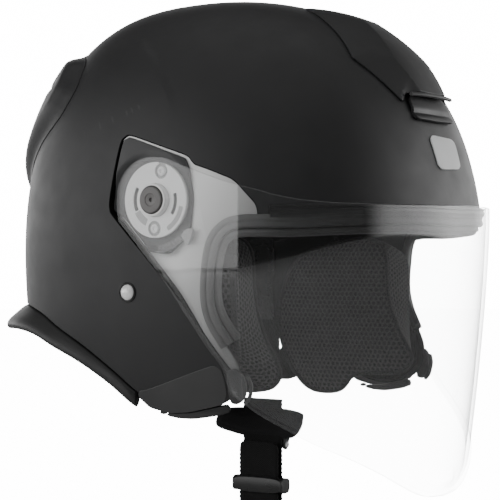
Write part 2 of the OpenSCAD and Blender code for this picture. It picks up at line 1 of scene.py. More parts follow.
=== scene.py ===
import bpy, math
import numpy as np
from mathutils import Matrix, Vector


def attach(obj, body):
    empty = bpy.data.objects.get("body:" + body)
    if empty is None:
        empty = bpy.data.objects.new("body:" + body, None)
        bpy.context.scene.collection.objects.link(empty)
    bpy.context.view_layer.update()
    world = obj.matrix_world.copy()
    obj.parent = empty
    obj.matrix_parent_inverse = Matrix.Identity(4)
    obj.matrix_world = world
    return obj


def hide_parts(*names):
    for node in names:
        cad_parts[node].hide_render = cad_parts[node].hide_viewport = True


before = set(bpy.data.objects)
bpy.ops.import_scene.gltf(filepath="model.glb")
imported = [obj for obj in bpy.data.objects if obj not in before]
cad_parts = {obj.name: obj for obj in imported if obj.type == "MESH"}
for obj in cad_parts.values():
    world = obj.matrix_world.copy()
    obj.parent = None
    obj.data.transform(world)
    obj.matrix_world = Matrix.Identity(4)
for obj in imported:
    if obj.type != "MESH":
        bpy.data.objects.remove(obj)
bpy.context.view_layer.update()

MM = 0.001
A = np.asarray

# ---------------------------------------------------------------- camera
cam = bpy.data.cameras.new("camera")
cam.sensor_width = 36.0
cam.lens = 119.0
cam_o = bpy.data.objects.new("camera", cam)
bpy.context.collection.objects.link(cam_o)
cam_o.location = (-0.8387, -0.5446, 0.0)
cam_o.rotation_euler = Vector((0.8387, 0.5446, 0.0)).to_track_quat("-Z", "Y").to_euler()
bpy.context.scene.camera = cam_o

# ---------------------------------------------------------------- base surface (mm), as in the CAD
HW, SF, SR, SU, SD = 123.0, 165.0, 96.0, 159.0, 200.0
PP, PU, PD = 2.4, 2.5, 2.2
CY, CZ, TILT, DROOP = 25.0, -12.0, math.radians(-5.0), 30.0
POCKET_X = 114.4
PIV = (-16.0, 27.0)


def R0(d):
    b = np.where(d[..., 1] < 0, SF, SR); up = d[..., 2] > 0
    c = np.where(up, SU, SD); n = np.where(up, PU, PD)
    h = ((np.abs(d[..., 0]) / HW) ** PP + (np.abs(d[..., 1]) / b) ** PP) ** (1 / PP)
    return (h ** n + (np.abs(d[..., 2]) / c) ** n) ** (-1 / n)


def S(d, off=0.0):
    d = A(d, float)
    q = (R0(d) + off)[..., None] * d
    y = q[..., 1] * math.cos(TILT) - q[..., 2] * math.sin(TILT)
    z = q[..., 1] * math.sin(TILT) + q[..., 2] * math.cos(TILT)
    return np.stack([q[..., 0], y + CY, z + CZ - DROOP * (np.maximum(y, 0) / 100) ** 2], -1)


def dir_of(p):
    p = A(p, float); y = p[..., 1] - CY; z = p[..., 2] - CZ + DROOP * (np.maximum(y, 0) / 100) ** 2
    c, s = math.cos(-TILT), math.sin(-TILT)
    v = np.stack([p[..., 0], y * c - z * s, y * s + z * c], -1)
    return v / np.linalg.norm(v, axis=-1)[..., None]


def sx(y, z):
    y = A(y, float); z = A(z, float)
    y1 = y - CY; z1 = z - CZ + DROOP * (np.maximum(y1, 0) / 100) ** 2
    y2 = y1 * math.cos(TILT) + z1 * math.sin(TILT); z2 = -y1 * math.sin(TILT) + z1 * math.cos(TILT)
    b = np.where(y2 < 0, SF, SR); up = z2 > 0; c = np.where(up, SU, SD); n = np.where(up, PU, PD)
    u = np.maximum(1 - (np.abs(z2) / c) ** n, 0) ** (PP / n) - (np.abs(y2) / b) ** PP
    return HW * np.maximum(u, 0) ** (1 / PP)


def azel(a, e):
    a = np.radians(A(a, float)); e = np.radians(A(e, float))
    return np.stack([-np.sin(a) * np.cos(e), -np.cos(a) * np.cos(e), np.sin(e)], -1)


def to_azel(d):
    return np.degrees(np.arctan2(-d[..., 0], -d[..., 1])), np.degrees(np.arcsin(np.clip(d[..., 2], -1, 1)))


def unit(v):
    return v / np.maximum(np.linalg.norm(v, axis=-1), 1e-12)[..., None]


def sstep(x):
    x = np.clip(x, 0, 1)
    return x * x * (3 - 2 * x)


# ---------------------------------------------------------------- outlines
shell_edge = [[0, 5], [20, 5.5], [38, 6.3], [46, 7.2], [50, 7.6], [53.5, 7], [56.3, 4], [57.8, -1.5], [58.6, -8], [57.6, -13.5], [54.8, -18.5], [52.5, -23], [53.5, -28], [58, -31],
              [65, -32.5], [72, -32], [79, -29.5], [86, -24.5], [95, -18], [103, -12.5], [111, -6.5], [122, -1],
              [135, 3.5], [150, 7], [165, 8.5], [180, 9]]
eps_edge = [[0, 8], [20, 8.5], [38, 9.5], [47, 11], [54, 12], [62, 12.5], [70, 12.5], [80, 12], [90, 11], [100, 10], [111, 11],
            [122, 14], [135, 17], [150, 20], [165, 21], [180, 21.5]]
liner_edge = [[0, 22], [25, 23], [50, 26], [75, 27], [100, 26], [125, 28], [150, 32], [180, 34]]


def cr(p0, p1, p2, p3, t):
    return 0.5 * (2 * p1 + (p2 - p0) * t + (2 * p0 - 5 * p1 + 4 * p2 - p3) * t * t + (3 * p1 - p0 - 3 * p2 + p3) * t ** 3)


def full_edge(l, k):
    l = A(l, float); n = len(l)

    def pick(i):
        if i < 0:
            return A([-l[-i][0], l[-i][1]])
        if i >= n:
            return A([360 - l[2 * n - 2 - i][0], l[2 * n - 2 - i][1]])
        return l[i]
    h = [cr(pick(i - 1), pick(i), pick(i + 1), pick(i + 2), j / k) for i in range(n - 1) for j in range(k)]
    return A(h + [l[-1]] + [[360 - q[0], q[1]] for q in h[:0:-1]])


def chaikin(p, it=2, closed=True, keep=0.25):
    p = A(p, float)
    for _ in range(it):
        nx = np.roll(p, -1, 0)
        q = np.empty((2 * len(p), p.shape[1]))
        q[0::2] = p * (1 - keep) + nx * keep
        q[1::2] = p * keep + nx * (1 - keep)
        p = q if closed else np.vstack([p[:1], q[1:-3], p[-1:]])
    return p


def sdist(Q, poly):
    """signed distance to a closed polygon, negative inside"""
    Q = A(Q, float); poly = A(poly, float)
    out = np.full(len(Q), 1e9); inside = np.zeros(len(Q), bool)
    for a, b in zip(poly, np.roll(poly, -1, 0)):
        ab = b - a; w = Q - a
        t = np.clip((w @ ab) / max(ab @ ab, 1e-12), 0, 1)
        out = np.minimum(out, np.linalg.norm(w - t[:, None] * ab, axis=1))
        if a[1] != b[1]:
            c = ((a[1] > Q[:, 1]) != (b[1] > Q[:, 1])) & (Q[:, 0] < (b[0] - a[0]) * (Q[:, 1] - a[1]) / (b[1] - a[1]) + a[0])
            inside ^= c
    return np.where(inside, -out, out)


def line_d(Q, pts):
    """distance to an open polyline, its sign by side, and how far along it"""
    Q = A(Q, float); best = np.full(len(Q), 1e9); sg = np.ones(len(Q)); tt = np.zeros(len(Q))
    n = len(pts) - 1
    for i in range(n):
        a, b = A(pts[i], float), A(pts[i + 1], float); ab = b - a; w = Q - a
        t0 = (w @ ab) / (ab @ ab); t = np.clip(t0, 0, 1)
        d = np.linalg.norm(w - t[:, None] * ab, axis=1); m = d < best - 1e-9
        best = np.where(m, d, best); sg = np.where(m, np.sign(w[:, 0] * ab[1] - w[:, 1] * ab[0]), sg)
        tt = np.where(m, (i + (t if 0 < i < n - 1 else t0 if n == 1 else np.minimum(t0, 1) if i == 0 else np.maximum(t0, 0))) / n, tt)
    return best, sg, tt


# ---------------------------------------------------------------- mesh tools
def make(name, V, F, N=None, uv=None, mats=(), sharp=35.0, body="helmet", slot=None, fidx=None):
    me = bpy.data.meshes.new(name)
    me.from_pydata((A(V) * MM).tolist(), [], F.tolist() if hasattr(F, "tolist") else F)
    me.polygons.foreach_set("use_smooth", [True] * len(me.polygons))
    if uv is not None:
        lay = me.uv_layers.new(name="UV")
        vi = np.empty(len(me.loops), int); me.loops.foreach_get("vertex_index", vi)
        lay.data.foreach_set("uv", A(uv, float)[vi].ravel())
    if N is not None:
        me.normals_split_custom_set_from_vertices(unit(A(N, float)).tolist())
    else:
        me.set_sharp_from_angle(angle=math.radians(sharp))
    for m in mats:
        me.materials.append(m)
    if fidx is not None:
        me.polygons.foreach_set("material_index", list(fidx))
    me.update()
    o = bpy.data.objects.new(name, me)
    bpy.context.collection.objects.link(o)
    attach(o, body)
    return o


def mirrored(g):
    V, F, N = g
    V = V * [-1, 1, 1]
    return V, F[:, ::-1], None if N is None else N * [-1, 1, 1]


def join(*gs):
    V, F, N, k = [], [], [], 0
    for g in gs:
        V.append(g[0]); F.append(A(g[1]) + k); k += len(g[0])
        N.append(g[2] if g[2] is not None else np.zeros_like(g[0]))
    return np.vstack(V), np.vstack(F), None if any(g[2] is None for g in gs) else np.vstack(N)


def cut(Q, F, val):
    val = np.where(np.abs(val) < 1e-7, 1e-7, val)
    s = val > 0; c = s[F].sum(1)
    P, M = [F[c == 3]], [F[c == 0]]
    Qn = []; ids = {}; base = len(Q)

    def mid(a, b):
        k = (a, b) if a < b else (b, a)
        if k not in ids:
            t = val[a] / (val[a] - val[b]); ids[k] = base + len(Qn)
            Qn.append(Q[a] + (Q[b] - Q[a]) * t)
        return ids[k]
    pp, mm = [], []
    for t in F[(c == 1) | (c == 2)].tolist():
        f = [bool(s[i]) for i in t]
        lone = f.index(True) if sum(f) == 1 else f.index(False)
        a, b, e = t[lone], t[(lone + 1) % 3], t[(lone + 2) % 3]
        x, y = mid(a, b), mid(a, e)
        (pp if s[a] else mm).append([a, x, y])
        (mm if s[a] else pp).extend([[x, b, e], [x, e, y]])
    if pp:
        P.append(A(pp)); M.append(A(mm))
    return (np.vstack([Q, A(Qn)]) if Qn else Q), np.vstack(P), np.vstack(M), np.arange(base, base + len(Qn))


def rim(F):
    E = np.concatenate([F[:, [0, 1]], F[:, [1, 2]], F[:, [2, 0]]]).astype(np.int64)
    big = F.max() + 1
    return E[~np.isin(E[:, 0] * big + E[:, 1], E[:, 1] * big + E[:, 0])]


def compact(F, *arr):
    u, inv = np.unique(F, return_inverse=True)
    return (inv.reshape(F.shape),) + tuple(a[u] for a in arr) + (u,)


def skirt(V, N, E, bevel, depth, steps=3, into=None):
    """rounded edge and wall along the rim edges E; returns V, N, F of the new strip and its last ring's ids per rim vertex"""
    ids = np.unique(E); pos = {int(i): k for k, i in enumerate(ids)}
    T = np.zeros((len(ids), 3)); d = V[E[:, 1]] - V[E[:, 0]]
    t = unit(np.cross(d, N[E[:, 0]] + N[E[:, 1]]))
    for (a, b), v in zip(E, t):
        T[pos[int(a)]] += v; T[pos[int(b)]] += v
    n = N[ids]; T = unit(T - (T * n).sum(1)[:, None] * n)
    rings, norms = [V[ids]], [n]
    for k in range(1, steps + 1):
        th = math.pi / 2 * k / steps
        rings.append(V[ids] + T * bevel * math.sin(th) - n * bevel * (1 - math.cos(th)))
        norms.append(n * math.cos(th) + T * math.sin(th))
    end = V[ids] + T * bevel - n * depth if into is None else into(V[ids] + T * bevel)
    rings += [rings[-1], end]; norms += [T, T]
    m = len(ids); Vn, Nn = np.vstack(rings), np.vstack(norms)
    L = A([[pos[int(a)], pos[int(b)]] for a, b in E]); F = []
    for k in list(range(steps)) + [steps + 1]:
        a, b = L[:, 0] + k * m, L[:, 1] + k * m
        F += [np.stack([a, a + m, b + m], 1), np.stack([a, b + m, b], 1)]
    return Vn, np.vstack(F), Nn, ids, (steps + 2) * m


def param_normals(P, Q, e=0.25, ref=None):
    du = P(Q + [e, 0]) - P(Q - [e, 0]); dv = P(Q + [0, e]) - P(Q - [0, e])
    n = unit(np.cross(du, dv))
    ref = (P(Q) - [0, CY, 0]) if ref is None else ref
    if (n * ref).sum() < 0:
        n = -n
    return n


def patch(poly, point, thick, bevel=0.6, step=1.5, scale=(1, 1), val=None, height=None, ref=None, back=True):
    """a panel over an outline; point(q, off) gives its place, height(q) raises it; the outline is its true edge"""
    scale = A(scale, float)
    poly = A(poly, float) * scale if poly is not None else None
    box = poly if poly is not None else A(val(None)) * scale
    lo = box.min(0) - 2 * step; hi = box.max(0) + 2 * step
    nx, ny = (np.ceil((hi - lo) / step).astype(int) + 1)
    gx, gy = np.meshgrid(lo[0] + step * np.arange(nx), lo[1] + step * np.arange(ny), indexing="ij")
    Q = np.stack([gx.ravel(), gy.ravel()], 1)
    i = (np.arange(nx - 1)[:, None] * ny + np.arange(ny - 1)).ravel()
    F = np.vstack([np.stack([i, i + ny, i + ny + 1], 1), np.stack([i, i + ny + 1, i + 1], 1)])
    v = (sdist(Q, poly) if val is None else val(Q / scale)) + bevel
    Q, _, F, _ = cut(Q, F, v)
    F, Q, _ = compact(F, Q)

    def P(q, extra=0.0):
        h = height(q / scale) if height is not None else 0.0
        return point(q / scale, h + extra)
    V = P(Q); N = param_normals(P, Q, ref=ref)
    if (np.cross(V[F[:, 1]] - V[F[:, 0]], V[F[:, 2]] - V[F[:, 0]]) * N[F[:, 0]]).sum() < 0:
        F = F[:, ::-1]
    E = rim(F)
    sv, sf, sn, ids, last = skirt(V, N, E, bevel, thick)
    g = [(V, F, N), (sv, sf, sn)]
    if back:
        Vb = V - N * thick; Vb[ids] = sv[last:last + len(ids)]
        g.append((Vb, F[:, ::-1], -N))
    return join(*g)


def strip(rings, loop=False, caps=True):
    """quads through rings of equal length, each ring closed"""
    R = A(rings, float); n, k, _ = R.shape
    i = np.arange(n if loop else n - 1)[:, None]; j = np.arange(k)[None, :]
    a = (i % n) * k + j; b = ((i + 1) % n) * k + j; c = ((i + 1) % n) * k + (j + 1) % k; d = (i % n) * k + (j + 1) % k
    F = np.stack([a, b, c, d], -1).reshape(-1, 4).tolist()
    if caps and not loop:
        F += [list(range(k)), [(n - 1) * k + q for q in range(k - 1, -1, -1)]]
    V = R.reshape(-1, 3)
    return orient(V, F)


def orient(V, F):
    """turns all faces over if the solid is inside out"""
    c = V.mean(0); s = 0.0
    for f in F:
        p = V[f] - c
        for q in range(1, len(f) - 1):
            s += np.dot(p[0], np.cross(p[q], p[q + 1]))
    return (V, [f[::-1] for f in F]) if s < 0 else (V, F)


def revolve(prof, y0, z0, n=72, right=True):
    """profile of [radius, |x|] turned about the X axis through (y0, z0)"""
    pr = A(prof, float); th = np.linspace(0, 2 * math.pi, n, endpoint=False)
    V = np.stack([np.repeat(-pr[:, 1], n), y0 + np.outer(pr[:, 0], np.cos(th)).ravel(), z0 + np.outer(pr[:, 0], np.sin(th)).ravel()], 1)
    F = []
    for i in range(len(pr) - 1):
        for j in range(n):
            F.append([i * n + j, i * n + (j + 1) % n, (i + 1) * n + (j + 1) % n, (i + 1) * n + j])
    V, F = orient(V, F)
    if not right:
        V = V * [-1, 1, 1]; F = [f[::-1] for f in F]
    return V, F


def merge(*gs):
    V, F, k = [], [], 0
    for v, f in gs:
        V.append(v); F += [[i + k for i in q] for q in f]; k += len(v)
    return np.vstack(V), F


def flip(g):
    return g[0] * [-1, 1, 1], [q[::-1] for q in g[1]]


def pchip(tab, x):
    tab = A(tab, float); X, Y = tab[:, 0], tab[:, 1]
    h = np.diff(X); d = np.diff(Y) / h; m = np.zeros(len(X))
    for i in range(1, len(X) - 1):
        if d[i - 1] * d[i] > 0:
            w1, w2 = 2 * h[i] + h[i - 1], h[i] + 2 * h[i - 1]
            m[i] = (w1 + w2) / (w1 / d[i - 1] + w2 / d[i])
    m[0], m[-1] = d[0], d[-1]
    x = np.clip(A(x, float), X[0], X[-1]); i = np.clip(np.searchsorted(X, x) - 1, 0, len(X) - 2)
    t = (x - X[i]) / h[i]
    return (Y[i] * (1 + 2 * t) * (1 - t) ** 2 + m[i] * h[i] * t * (1 - t) ** 2 + Y[i + 1] * t * t * (3 - 2 * t)
            + m[i + 1] * h[i] * t * t * (t - 1))


# ---------------------------------------------------------------- materials
def nodes(name):
    m = bpy.data.materials.new(name); m.use_nodes = True
    nt = m.node_tree; nt.nodes.clear()
    out = nt.nodes.new("ShaderNodeOutputMaterial"); b = nt.nodes.new("ShaderNodeBsdfPrincipled")
    nt.links.new(b.outputs[0], out.inputs[0])
    return m, nt, b, out


def noise(nt, src, scale, detail=3.0, rough=0.5):
    n = nt.nodes.new("ShaderNodeTexNoise"); n.inputs["Scale"].default_value = scale
    n.inputs["Detail"].default_value = detail; n.inputs["Roughness"].default_value = rough
    nt.links.new(src, n.inputs["Vector"])
    return n.outputs["Fac"]


def math_(nt, op, a, b=None, c=None):
    n = nt.nodes.new("ShaderNodeMath"); n.operation = op
    for i, v in enumerate((a, b, c)):
        if v is None:
            continue
        if isinstance(v, (int, float)):
            n.inputs[i].default_value = v
        else:
            nt.links.new(v, n.inputs[i])
    return n.outputs[0]


def ramp(nt, fac, c0, c1, lo=0.3, hi=0.7):
    r = nt.nodes.new("ShaderNodeValToRGB")
    r.color_ramp.elements[0].position = lo; r.color_ramp.elements[1].position = hi
    r.color_ramp.elements[0].color = (*c0, 1); r.color_ramp.elements[1].color = (*c1, 1)
    nt.links.new(fac, r.inputs[0])
    return r.outputs[0]


def bump(nt, b, height, strength, dist, prev=None):
    n = nt.nodes.new("ShaderNodeBump"); n.inputs["Strength"].default_value = strength
    n.inputs["Distance"].default_value = dist
    nt.links.new(height, n.inputs["Height"])
    if prev is not None:
        nt.links.new(prev, n.inputs["Normal"])
    nt.links.new(n.outputs[0], b.inputs["Normal"])
    return n.outputs[0]


def coords(nt, kind="Object"):
    return nt.nodes.new("ShaderNodeTexCoord").outputs[kind]


def plastic(name, c0, c1, r0, r1, grain=1500.0, strength=0.15, dist=0.00005, spec=0.5, patches=25.0, metallic=0.0, coat=0.0, sheen=0.0):
    m, nt, b, out = nodes(name); co = coords(nt)
    nt.links.new(ramp(nt, noise(nt, co, patches, 4), c0, c1), b.inputs["Base Color"])
    r = noise(nt, co, patches * 3.1, 5)
    mr = nt.nodes.new("ShaderNodeMapRange"); nt.links.new(r, mr.inputs[0])
    mr.inputs[1].default_value = 0.3; mr.inputs[2].default_value = 0.7
    mr.inputs[3].default_value = r0; mr.inputs[4].default_value = r1
    nt.links.new(mr.outputs[0], b.inputs["Roughness"])
    bump(nt, b, noise(nt, co, grain, 2), strength, dist)
    b.inputs["Specular IOR Level"].default_value = spec; b.inputs["Metallic"].default_value = metallic
    b.inputs["Coat Weight"].default_value = coat; b.inputs["Sheen Weight"].default_value = sheen
    return m


def hexmesh(name, c0, c1, cell=2.6, sheen=0.3):
    """honeycomb spacer mesh over a UV map in millimetres"""
    m, nt, b, out = nodes(name)
    uv = coords(nt, "UV")

    def vec(op, a, bb=None, cc=None):
        n = nt.nodes.new("ShaderNodeVectorMath"); n.operation = op
        for i, v in enumerate((a, bb, cc)):
            if v is None:
                continue
            if isinstance(v, tuple):
                n.inputs[i].default_value = v
            elif isinstance(v, float):
                n.inputs["Scale"].default_value = v
            else:
                nt.links.new(v, n.inputs[i])
        return n
    sc_ = nt.nodes.new("ShaderNodeVectorMath"); sc_.operation = "SCALE"; sc_.inputs["Scale"].default_value = 1.0 / cell
    nt.links.new(uv, sc_.inputs[0]); p = sc_.outputs[0]
    h = (0.5, 0.8660254, 0.5)
    a = vec("WRAP", p, h, (-0.5, -0.8660254, -0.5)).outputs[0]
    bv = vec("WRAP", vec("SUBTRACT", p, h).outputs[0], h, (-0.5, -0.8660254, -0.5)).outputs[0]
    da = vec("DOT_PRODUCT", vec("MULTIPLY", a, (1, 1, 0)).outputs[0], a).outputs["Value"]
    db = vec("DOT_PRODUCT", vec("MULTIPLY", bv, (1, 1, 0)).outputs[0], bv).outputs["Value"]
    pick = math_(nt, "GREATER_THAN", da, db)
    mx = nt.nodes.new("ShaderNodeMix"); mx.data_type = "VECTOR"
    nt.links.new(pick, mx.inputs[0]); nt.links.new(a, mx.inputs[4]); nt.links.new(bv, mx.inputs[5])
    ab = vec("ABSOLUTE", mx.outputs[1]).outputs[0]
    sp = nt.nodes.new("ShaderNodeSeparateXYZ"); nt.links.new(ab, sp.inputs[0])
    d = math_(nt, "MAXIMUM", sp.outputs[0], math_(nt, "ADD", math_(nt, "MULTIPLY", sp.outputs[0], 0.5), math_(nt, "MULTIPLY", sp.outputs[1], 0.8660254)))
    mr = nt.nodes.new("ShaderNodeMapRange"); mr.interpolation_type = "SMOOTHSTEP"
    nt.links.new(d, mr.inputs[0]); mr.inputs[1].default_value = 0.26; mr.inputs[2].default_value = 0.42
    wall = mr.outputs[0]
    fine = noise(nt, coords(nt), 2600.0, 2)
    col = ramp(nt, math_(nt, "ADD", math_(nt, "MULTIPLY", wall, 0.85), math_(nt, "MULTIPLY", fine, 0.15)), c0, c1, 0.05, 0.95)
    nt.links.new(col, b.inputs["Base Color"])
    b.inputs["Roughness"].default_value = 0.85; b.inputs["Sheen Weight"].default_value = sheen
    b.inputs["Sheen Roughness"].default_value = 0.4; b.inputs["Specular IOR Level"].default_value = 0.25
    bump(nt, b, math_(nt, "ADD", wall, math_(nt, "MULTIPLY", fine, 0.15)), 0.9, 0.0006)
    return m


def knit(name, c0, c1, scale=900.0, sheen=0.5, strength=0.35):
    m, nt, b, out = nodes(name); co = coords(nt)
    w = nt.nodes.new("ShaderNodeTexWave"); w.bands_direction = "DIAGONAL"; w.inputs["Scale"].default_value = scale / 3
    w.inputs["Distortion"].default_value = 2.0; nt.links.new(co, w.inputs["Vector"])
    f = math_(nt, "ADD", math_(nt, "MULTIPLY", w.outputs["Fac"], 0.5), math_(nt, "MULTIPLY", noise(nt, co, scale, 3), 0.5))
    nt.links.new(ramp(nt, math_(nt, "ADD", math_(nt, "MULTIPLY", f, 0.5), math_(nt, "MULTIPLY", noise(nt, co, 40.0, 4), 0.5)), c0, c1, 0.25, 0.75), b.inputs["Base Color"])
    b.inputs["Roughness"].default_value = 0.92; b.inputs["Sheen Weight"].default_value = sheen
    b.inputs["Sheen Roughness"].default_value = 0.5; b.inputs["Specular IOR Level"].default_value = 0.2
    bump(nt, b, f, strength, 0.0004)
    return m


def webbing_mat(name, c0, c1):
    """herringbone webbing over a UV map in millimetres: u across, v along"""
    m, nt, b, out = nodes(name)
    sp = nt.nodes.new("ShaderNodeSeparateXYZ"); nt.links.new(coords(nt, "UV"), sp.inputs[0])
    u, v = sp.outputs[0], sp.outputs[1]
    zig = math_(nt, "PINGPONG", u, 3.1)
    a = math_(nt, "SINE", math_(nt, "MULTIPLY", math_(nt, "ADD", v, math_(nt, "MULTIPLY", zig, 0.9)), 2 * math.pi / 1.15))
    r = math_(nt, "SINE", math_(nt, "MULTIPLY", u, 2 * math.pi / 0.62))
    f = math_(nt, "ADD", math_(nt, "MULTIPLY", a, 0.3), math_(nt, "MULTIPLY", r, 0.15))
    f = math_(nt, "ADD", f, 0.5)
    n_ = noise(nt, coords(nt), 1800.0, 3)
    f2 = math_(nt, "ADD", math_(nt, "MULTIPLY", f, 0.8), math_(nt, "MULTIPLY", n_, 0.2))
    nt.links.new(ramp(nt, f2, c0, c1, 0.2, 0.8), b.inputs["Base Color"])
    b.inputs["Roughness"].default_value = 0.75; b.inputs["Sheen Weight"].default_value = 0.03
    b.inputs["Specular IOR Level"].default_value = 0.15
    bump(nt, b, f2, 0.7, 0.00035)
    return m


def visor_mat(name):
    m, nt, b, out = nodes(name); nt.nodes.remove(b); co = coords(nt)
    lw = nt.nodes.new("ShaderNodeLayerWeight"); lw.inputs["Blend"].default_value = 0.5
    fr = math_(nt, "ADD", math_(nt, "MULTIPLY", math_(nt, "POWER", lw.outputs["Facing"], 5.0), 0.78), 0.042)
    gl = nt.nodes.new("ShaderNodeBsdfGlossy"); gl.inputs["Color"].default_value = (1, 1, 1, 1)
    r = nt.nodes.new("ShaderNodeMapRange"); nt.links.new(noise(nt, co, 60.0, 5), r.inputs[0])
    r.inputs[3].default_value = 0.015; r.inputs[4].default_value = 0.05
    nt.links.new(r.outputs[0], gl.inputs["Roughness"])
    tr = nt.nodes.new("ShaderNodeBsdfTransparent"); tr.inputs[0].default_value = (0.975, 0.977, 0.978, 1)
    df = nt.nodes.new("ShaderNodeBsdfDiffuse")
    nt.links.new(ramp(nt, noise(nt, co, 900.0, 4), (0.75, 0.76, 0.77), (0.9, 0.9, 0.9)), df.inputs["Color"])
    haze = nt.nodes.new("ShaderNodeMixShader"); haze.inputs[0].default_value = 0.003
    nt.links.new(tr.outputs[0], haze.inputs[1]); nt.links.new(df.outputs[0], haze.inputs[2])
    mix = nt.nodes.new("ShaderNodeMixShader")
    nt.links.new(fr, mix.inputs[0]); nt.links.new(haze.outputs[0], mix.inputs[1]); nt.links.new(gl.outputs[0], mix.inputs[2])
    nt.links.new(mix.outputs[0], out.inputs[0])
    return m


def reflection_veil_mat(name, tab, r0=0.45, r1=0.55):
    """satin grey with a painted reflection: light near the hinge, darkening away from it, towards the port and
    downwards, where the veil of softbox light in the visor wing fades
    """
    m, nt, b, out = nodes(name); co = coords(nt)
    dp = nt.nodes.new("ShaderNodeVectorMath"); dp.operation = "DOT_PRODUCT"; dp.inputs[1].default_value = (0.0, -9.0, -3.5)
    nt.links.new(co, dp.inputs[0])
    # painted reflection: the grey follows a fixed slope in object space, not the lamps
    t = math_(nt, "ADD", math_(nt, "ADD", dp.outputs["Value"], -0.144 + 0.0945), math_(nt, "MULTIPLY", math_(nt, "SUBTRACT", noise(nt, co, 40.0, 4), 0.5), 0.02))
    r = nt.nodes.new("ShaderNodeValToRGB"); nt.links.new(t, r.inputs[0])
    while len(r.color_ramp.elements) < len(tab):
        r.color_ramp.elements.new(0.5)
    for e_, (x, v) in zip(r.color_ramp.elements, tab):
        e_.position = x; e_.color = (v, v, v * 0.99, 1)
    nt.links.new(r.outputs[0], b.inputs["Base Color"]); b.inputs["Roughness"].default_value = (r0 + r1) / 2
    b.inputs["Specular IOR Level"].default_value = 0.35
    bump(nt, b, noise(nt, co, 1500.0, 2), 0.15, 0.00005)
    return m


M_shell = plastic("shell matte lacquer", (0.0135, 0.0135, 0.014), (0.017, 0.017, 0.0175), 0.42, 0.5, 2600, 0.10, 0.00004, 0.42)
# near-black inside of the shell, also laid on the recess walls round the pocket and the trim as painted shade in the
# gaps
M_in_gap_shade = plastic("shell inner face and painted gap shade", (0.002, 0.002, 0.002), (0.005, 0.005, 0.005), 0.7, 0.85, 700, 0.4, 0.0002, 0.12)
M_rub = plastic("edge rubber", (0.010, 0.010, 0.010), (0.017, 0.017, 0.017), 0.38, 0.5, 1400, 0.25, 0.00008, 0.45)
M_trim = plastic("trim satin", (0.030, 0.030, 0.0305), (0.040, 0.040, 0.040), 0.33, 0.42, 1800, 0.2, 0.00006, 0.5)
M_cover = plastic("cover grain", (0.024, 0.024, 0.025), (0.034, 0.034, 0.035), 0.42, 0.52, 900, 0.35, 0.00012, 0.5)
M_light = plastic("hinge light grey", (0.84, 0.84, 0.835), (0.9, 0.9, 0.895), 0.42, 0.55, 1300, 0.2, 0.00006, 0.4)
M_mid = plastic("hinge mid grey", (0.38, 0.38, 0.38), (0.44, 0.44, 0.44), 0.5, 0.6, 1300, 0.2, 0.00006, 0.4)
# near-black painted shade for the arc slots and the gap round the pivot cap
M_slot_shade = plastic("painted slot shade", (0.02, 0.02, 0.02), (0.035, 0.035, 0.035), 0.6, 0.7, 1300, 0.2, 0.00006, 0.3)
M_cap = plastic("cap satin grey", (0.11, 0.106, 0.104), (0.14, 0.135, 0.132), 0.35, 0.45, 1600, 0.25, 0.00006, 0.5)
M_white = plastic("screw bright", (0.82, 0.82, 0.82), (0.9, 0.9, 0.9), 0.2, 0.35, 1600, 0.1, 0.00004, 0.5)
M_badge = plastic("badge grey", (0.80, 0.81, 0.81), (0.88, 0.89, 0.89), 0.35, 0.5, 1800, 0.4, 0.00008, 0.5)
M_chrome = plastic("rivet polish", (0.9, 0.9, 0.9), (0.97, 0.97, 0.97), 0.08, 0.22, 500, 0.05, 0.00004, 0.5, metallic=0.15)
M_steel = plastic("plated steel", (0.42, 0.42, 0.43), (0.55, 0.55, 0.56), 0.25, 0.4, 900, 0.2, 0.00006, 0.5, metallic=1.0)
M_gloss = plastic("buckle black", (0.008, 0.008, 0.008), (0.014, 0.014, 0.014), 0.22, 0.34, 1500, 0.12, 0.00005, 0.5)
M_red = plastic("tab red", (0.42, 0.02, 0.015), (0.55, 0.035, 0.025), 0.3, 0.42, 1300, 0.15, 0.00005, 0.5)
M_foam = plastic("foam beads", (0.004, 0.004, 0.0043), (0.012, 0.012, 0.0125), 0.75, 0.9, 330, 0.8, 0.0006, 0.2, patches=300)
M_pad = hexmesh("pad honeycomb", (0.0015, 0.0015, 0.0015), (0.062, 0.060, 0.060), 3.2, 0.05)
M_knit = knit("liner knit", (0.002, 0.002, 0.002), (0.007, 0.007, 0.007), 900.0, 0.05)
M_pipe = knit("piping", (0.010, 0.010, 0.010), (0.022, 0.022, 0.022), 1500.0, 0.1)
M_sleeve = knit("sleeve knit", (0.004, 0.004, 0.0043), (0.011, 0.011, 0.0115), 1300.0, 0.08)
M_web = webbing_mat("webbing weave", (0.001, 0.001, 0.001), (0.009, 0.009, 0.009))
M_visor = visor_mat("visor clear")
# the shell pocket under the visor wing is black; its grey, light at the hinge and dark further off, is a painted
# reflection of the softbox veil
M_recess_painted_reflection = reflection_veil_mat("recess grey, painted reflection", [(0.0, 0.9), (0.2, 0.85), (0.36, 0.55), (0.64, 0.18), (1.0, 0.12)])
# the port edging and trim end strip are black rubber and plastic; their grey, light near the hinge and dark at the
# front, is a painted reflection of the veil in the visor wing
M_port_painted_reflection = reflection_veil_mat("port edging, painted reflection", [(0.0, 0.62), (0.22, 0.42), (0.34, 0.22), (0.5, 0.12), (0.66, 0.05), (1.0, 0.02)])

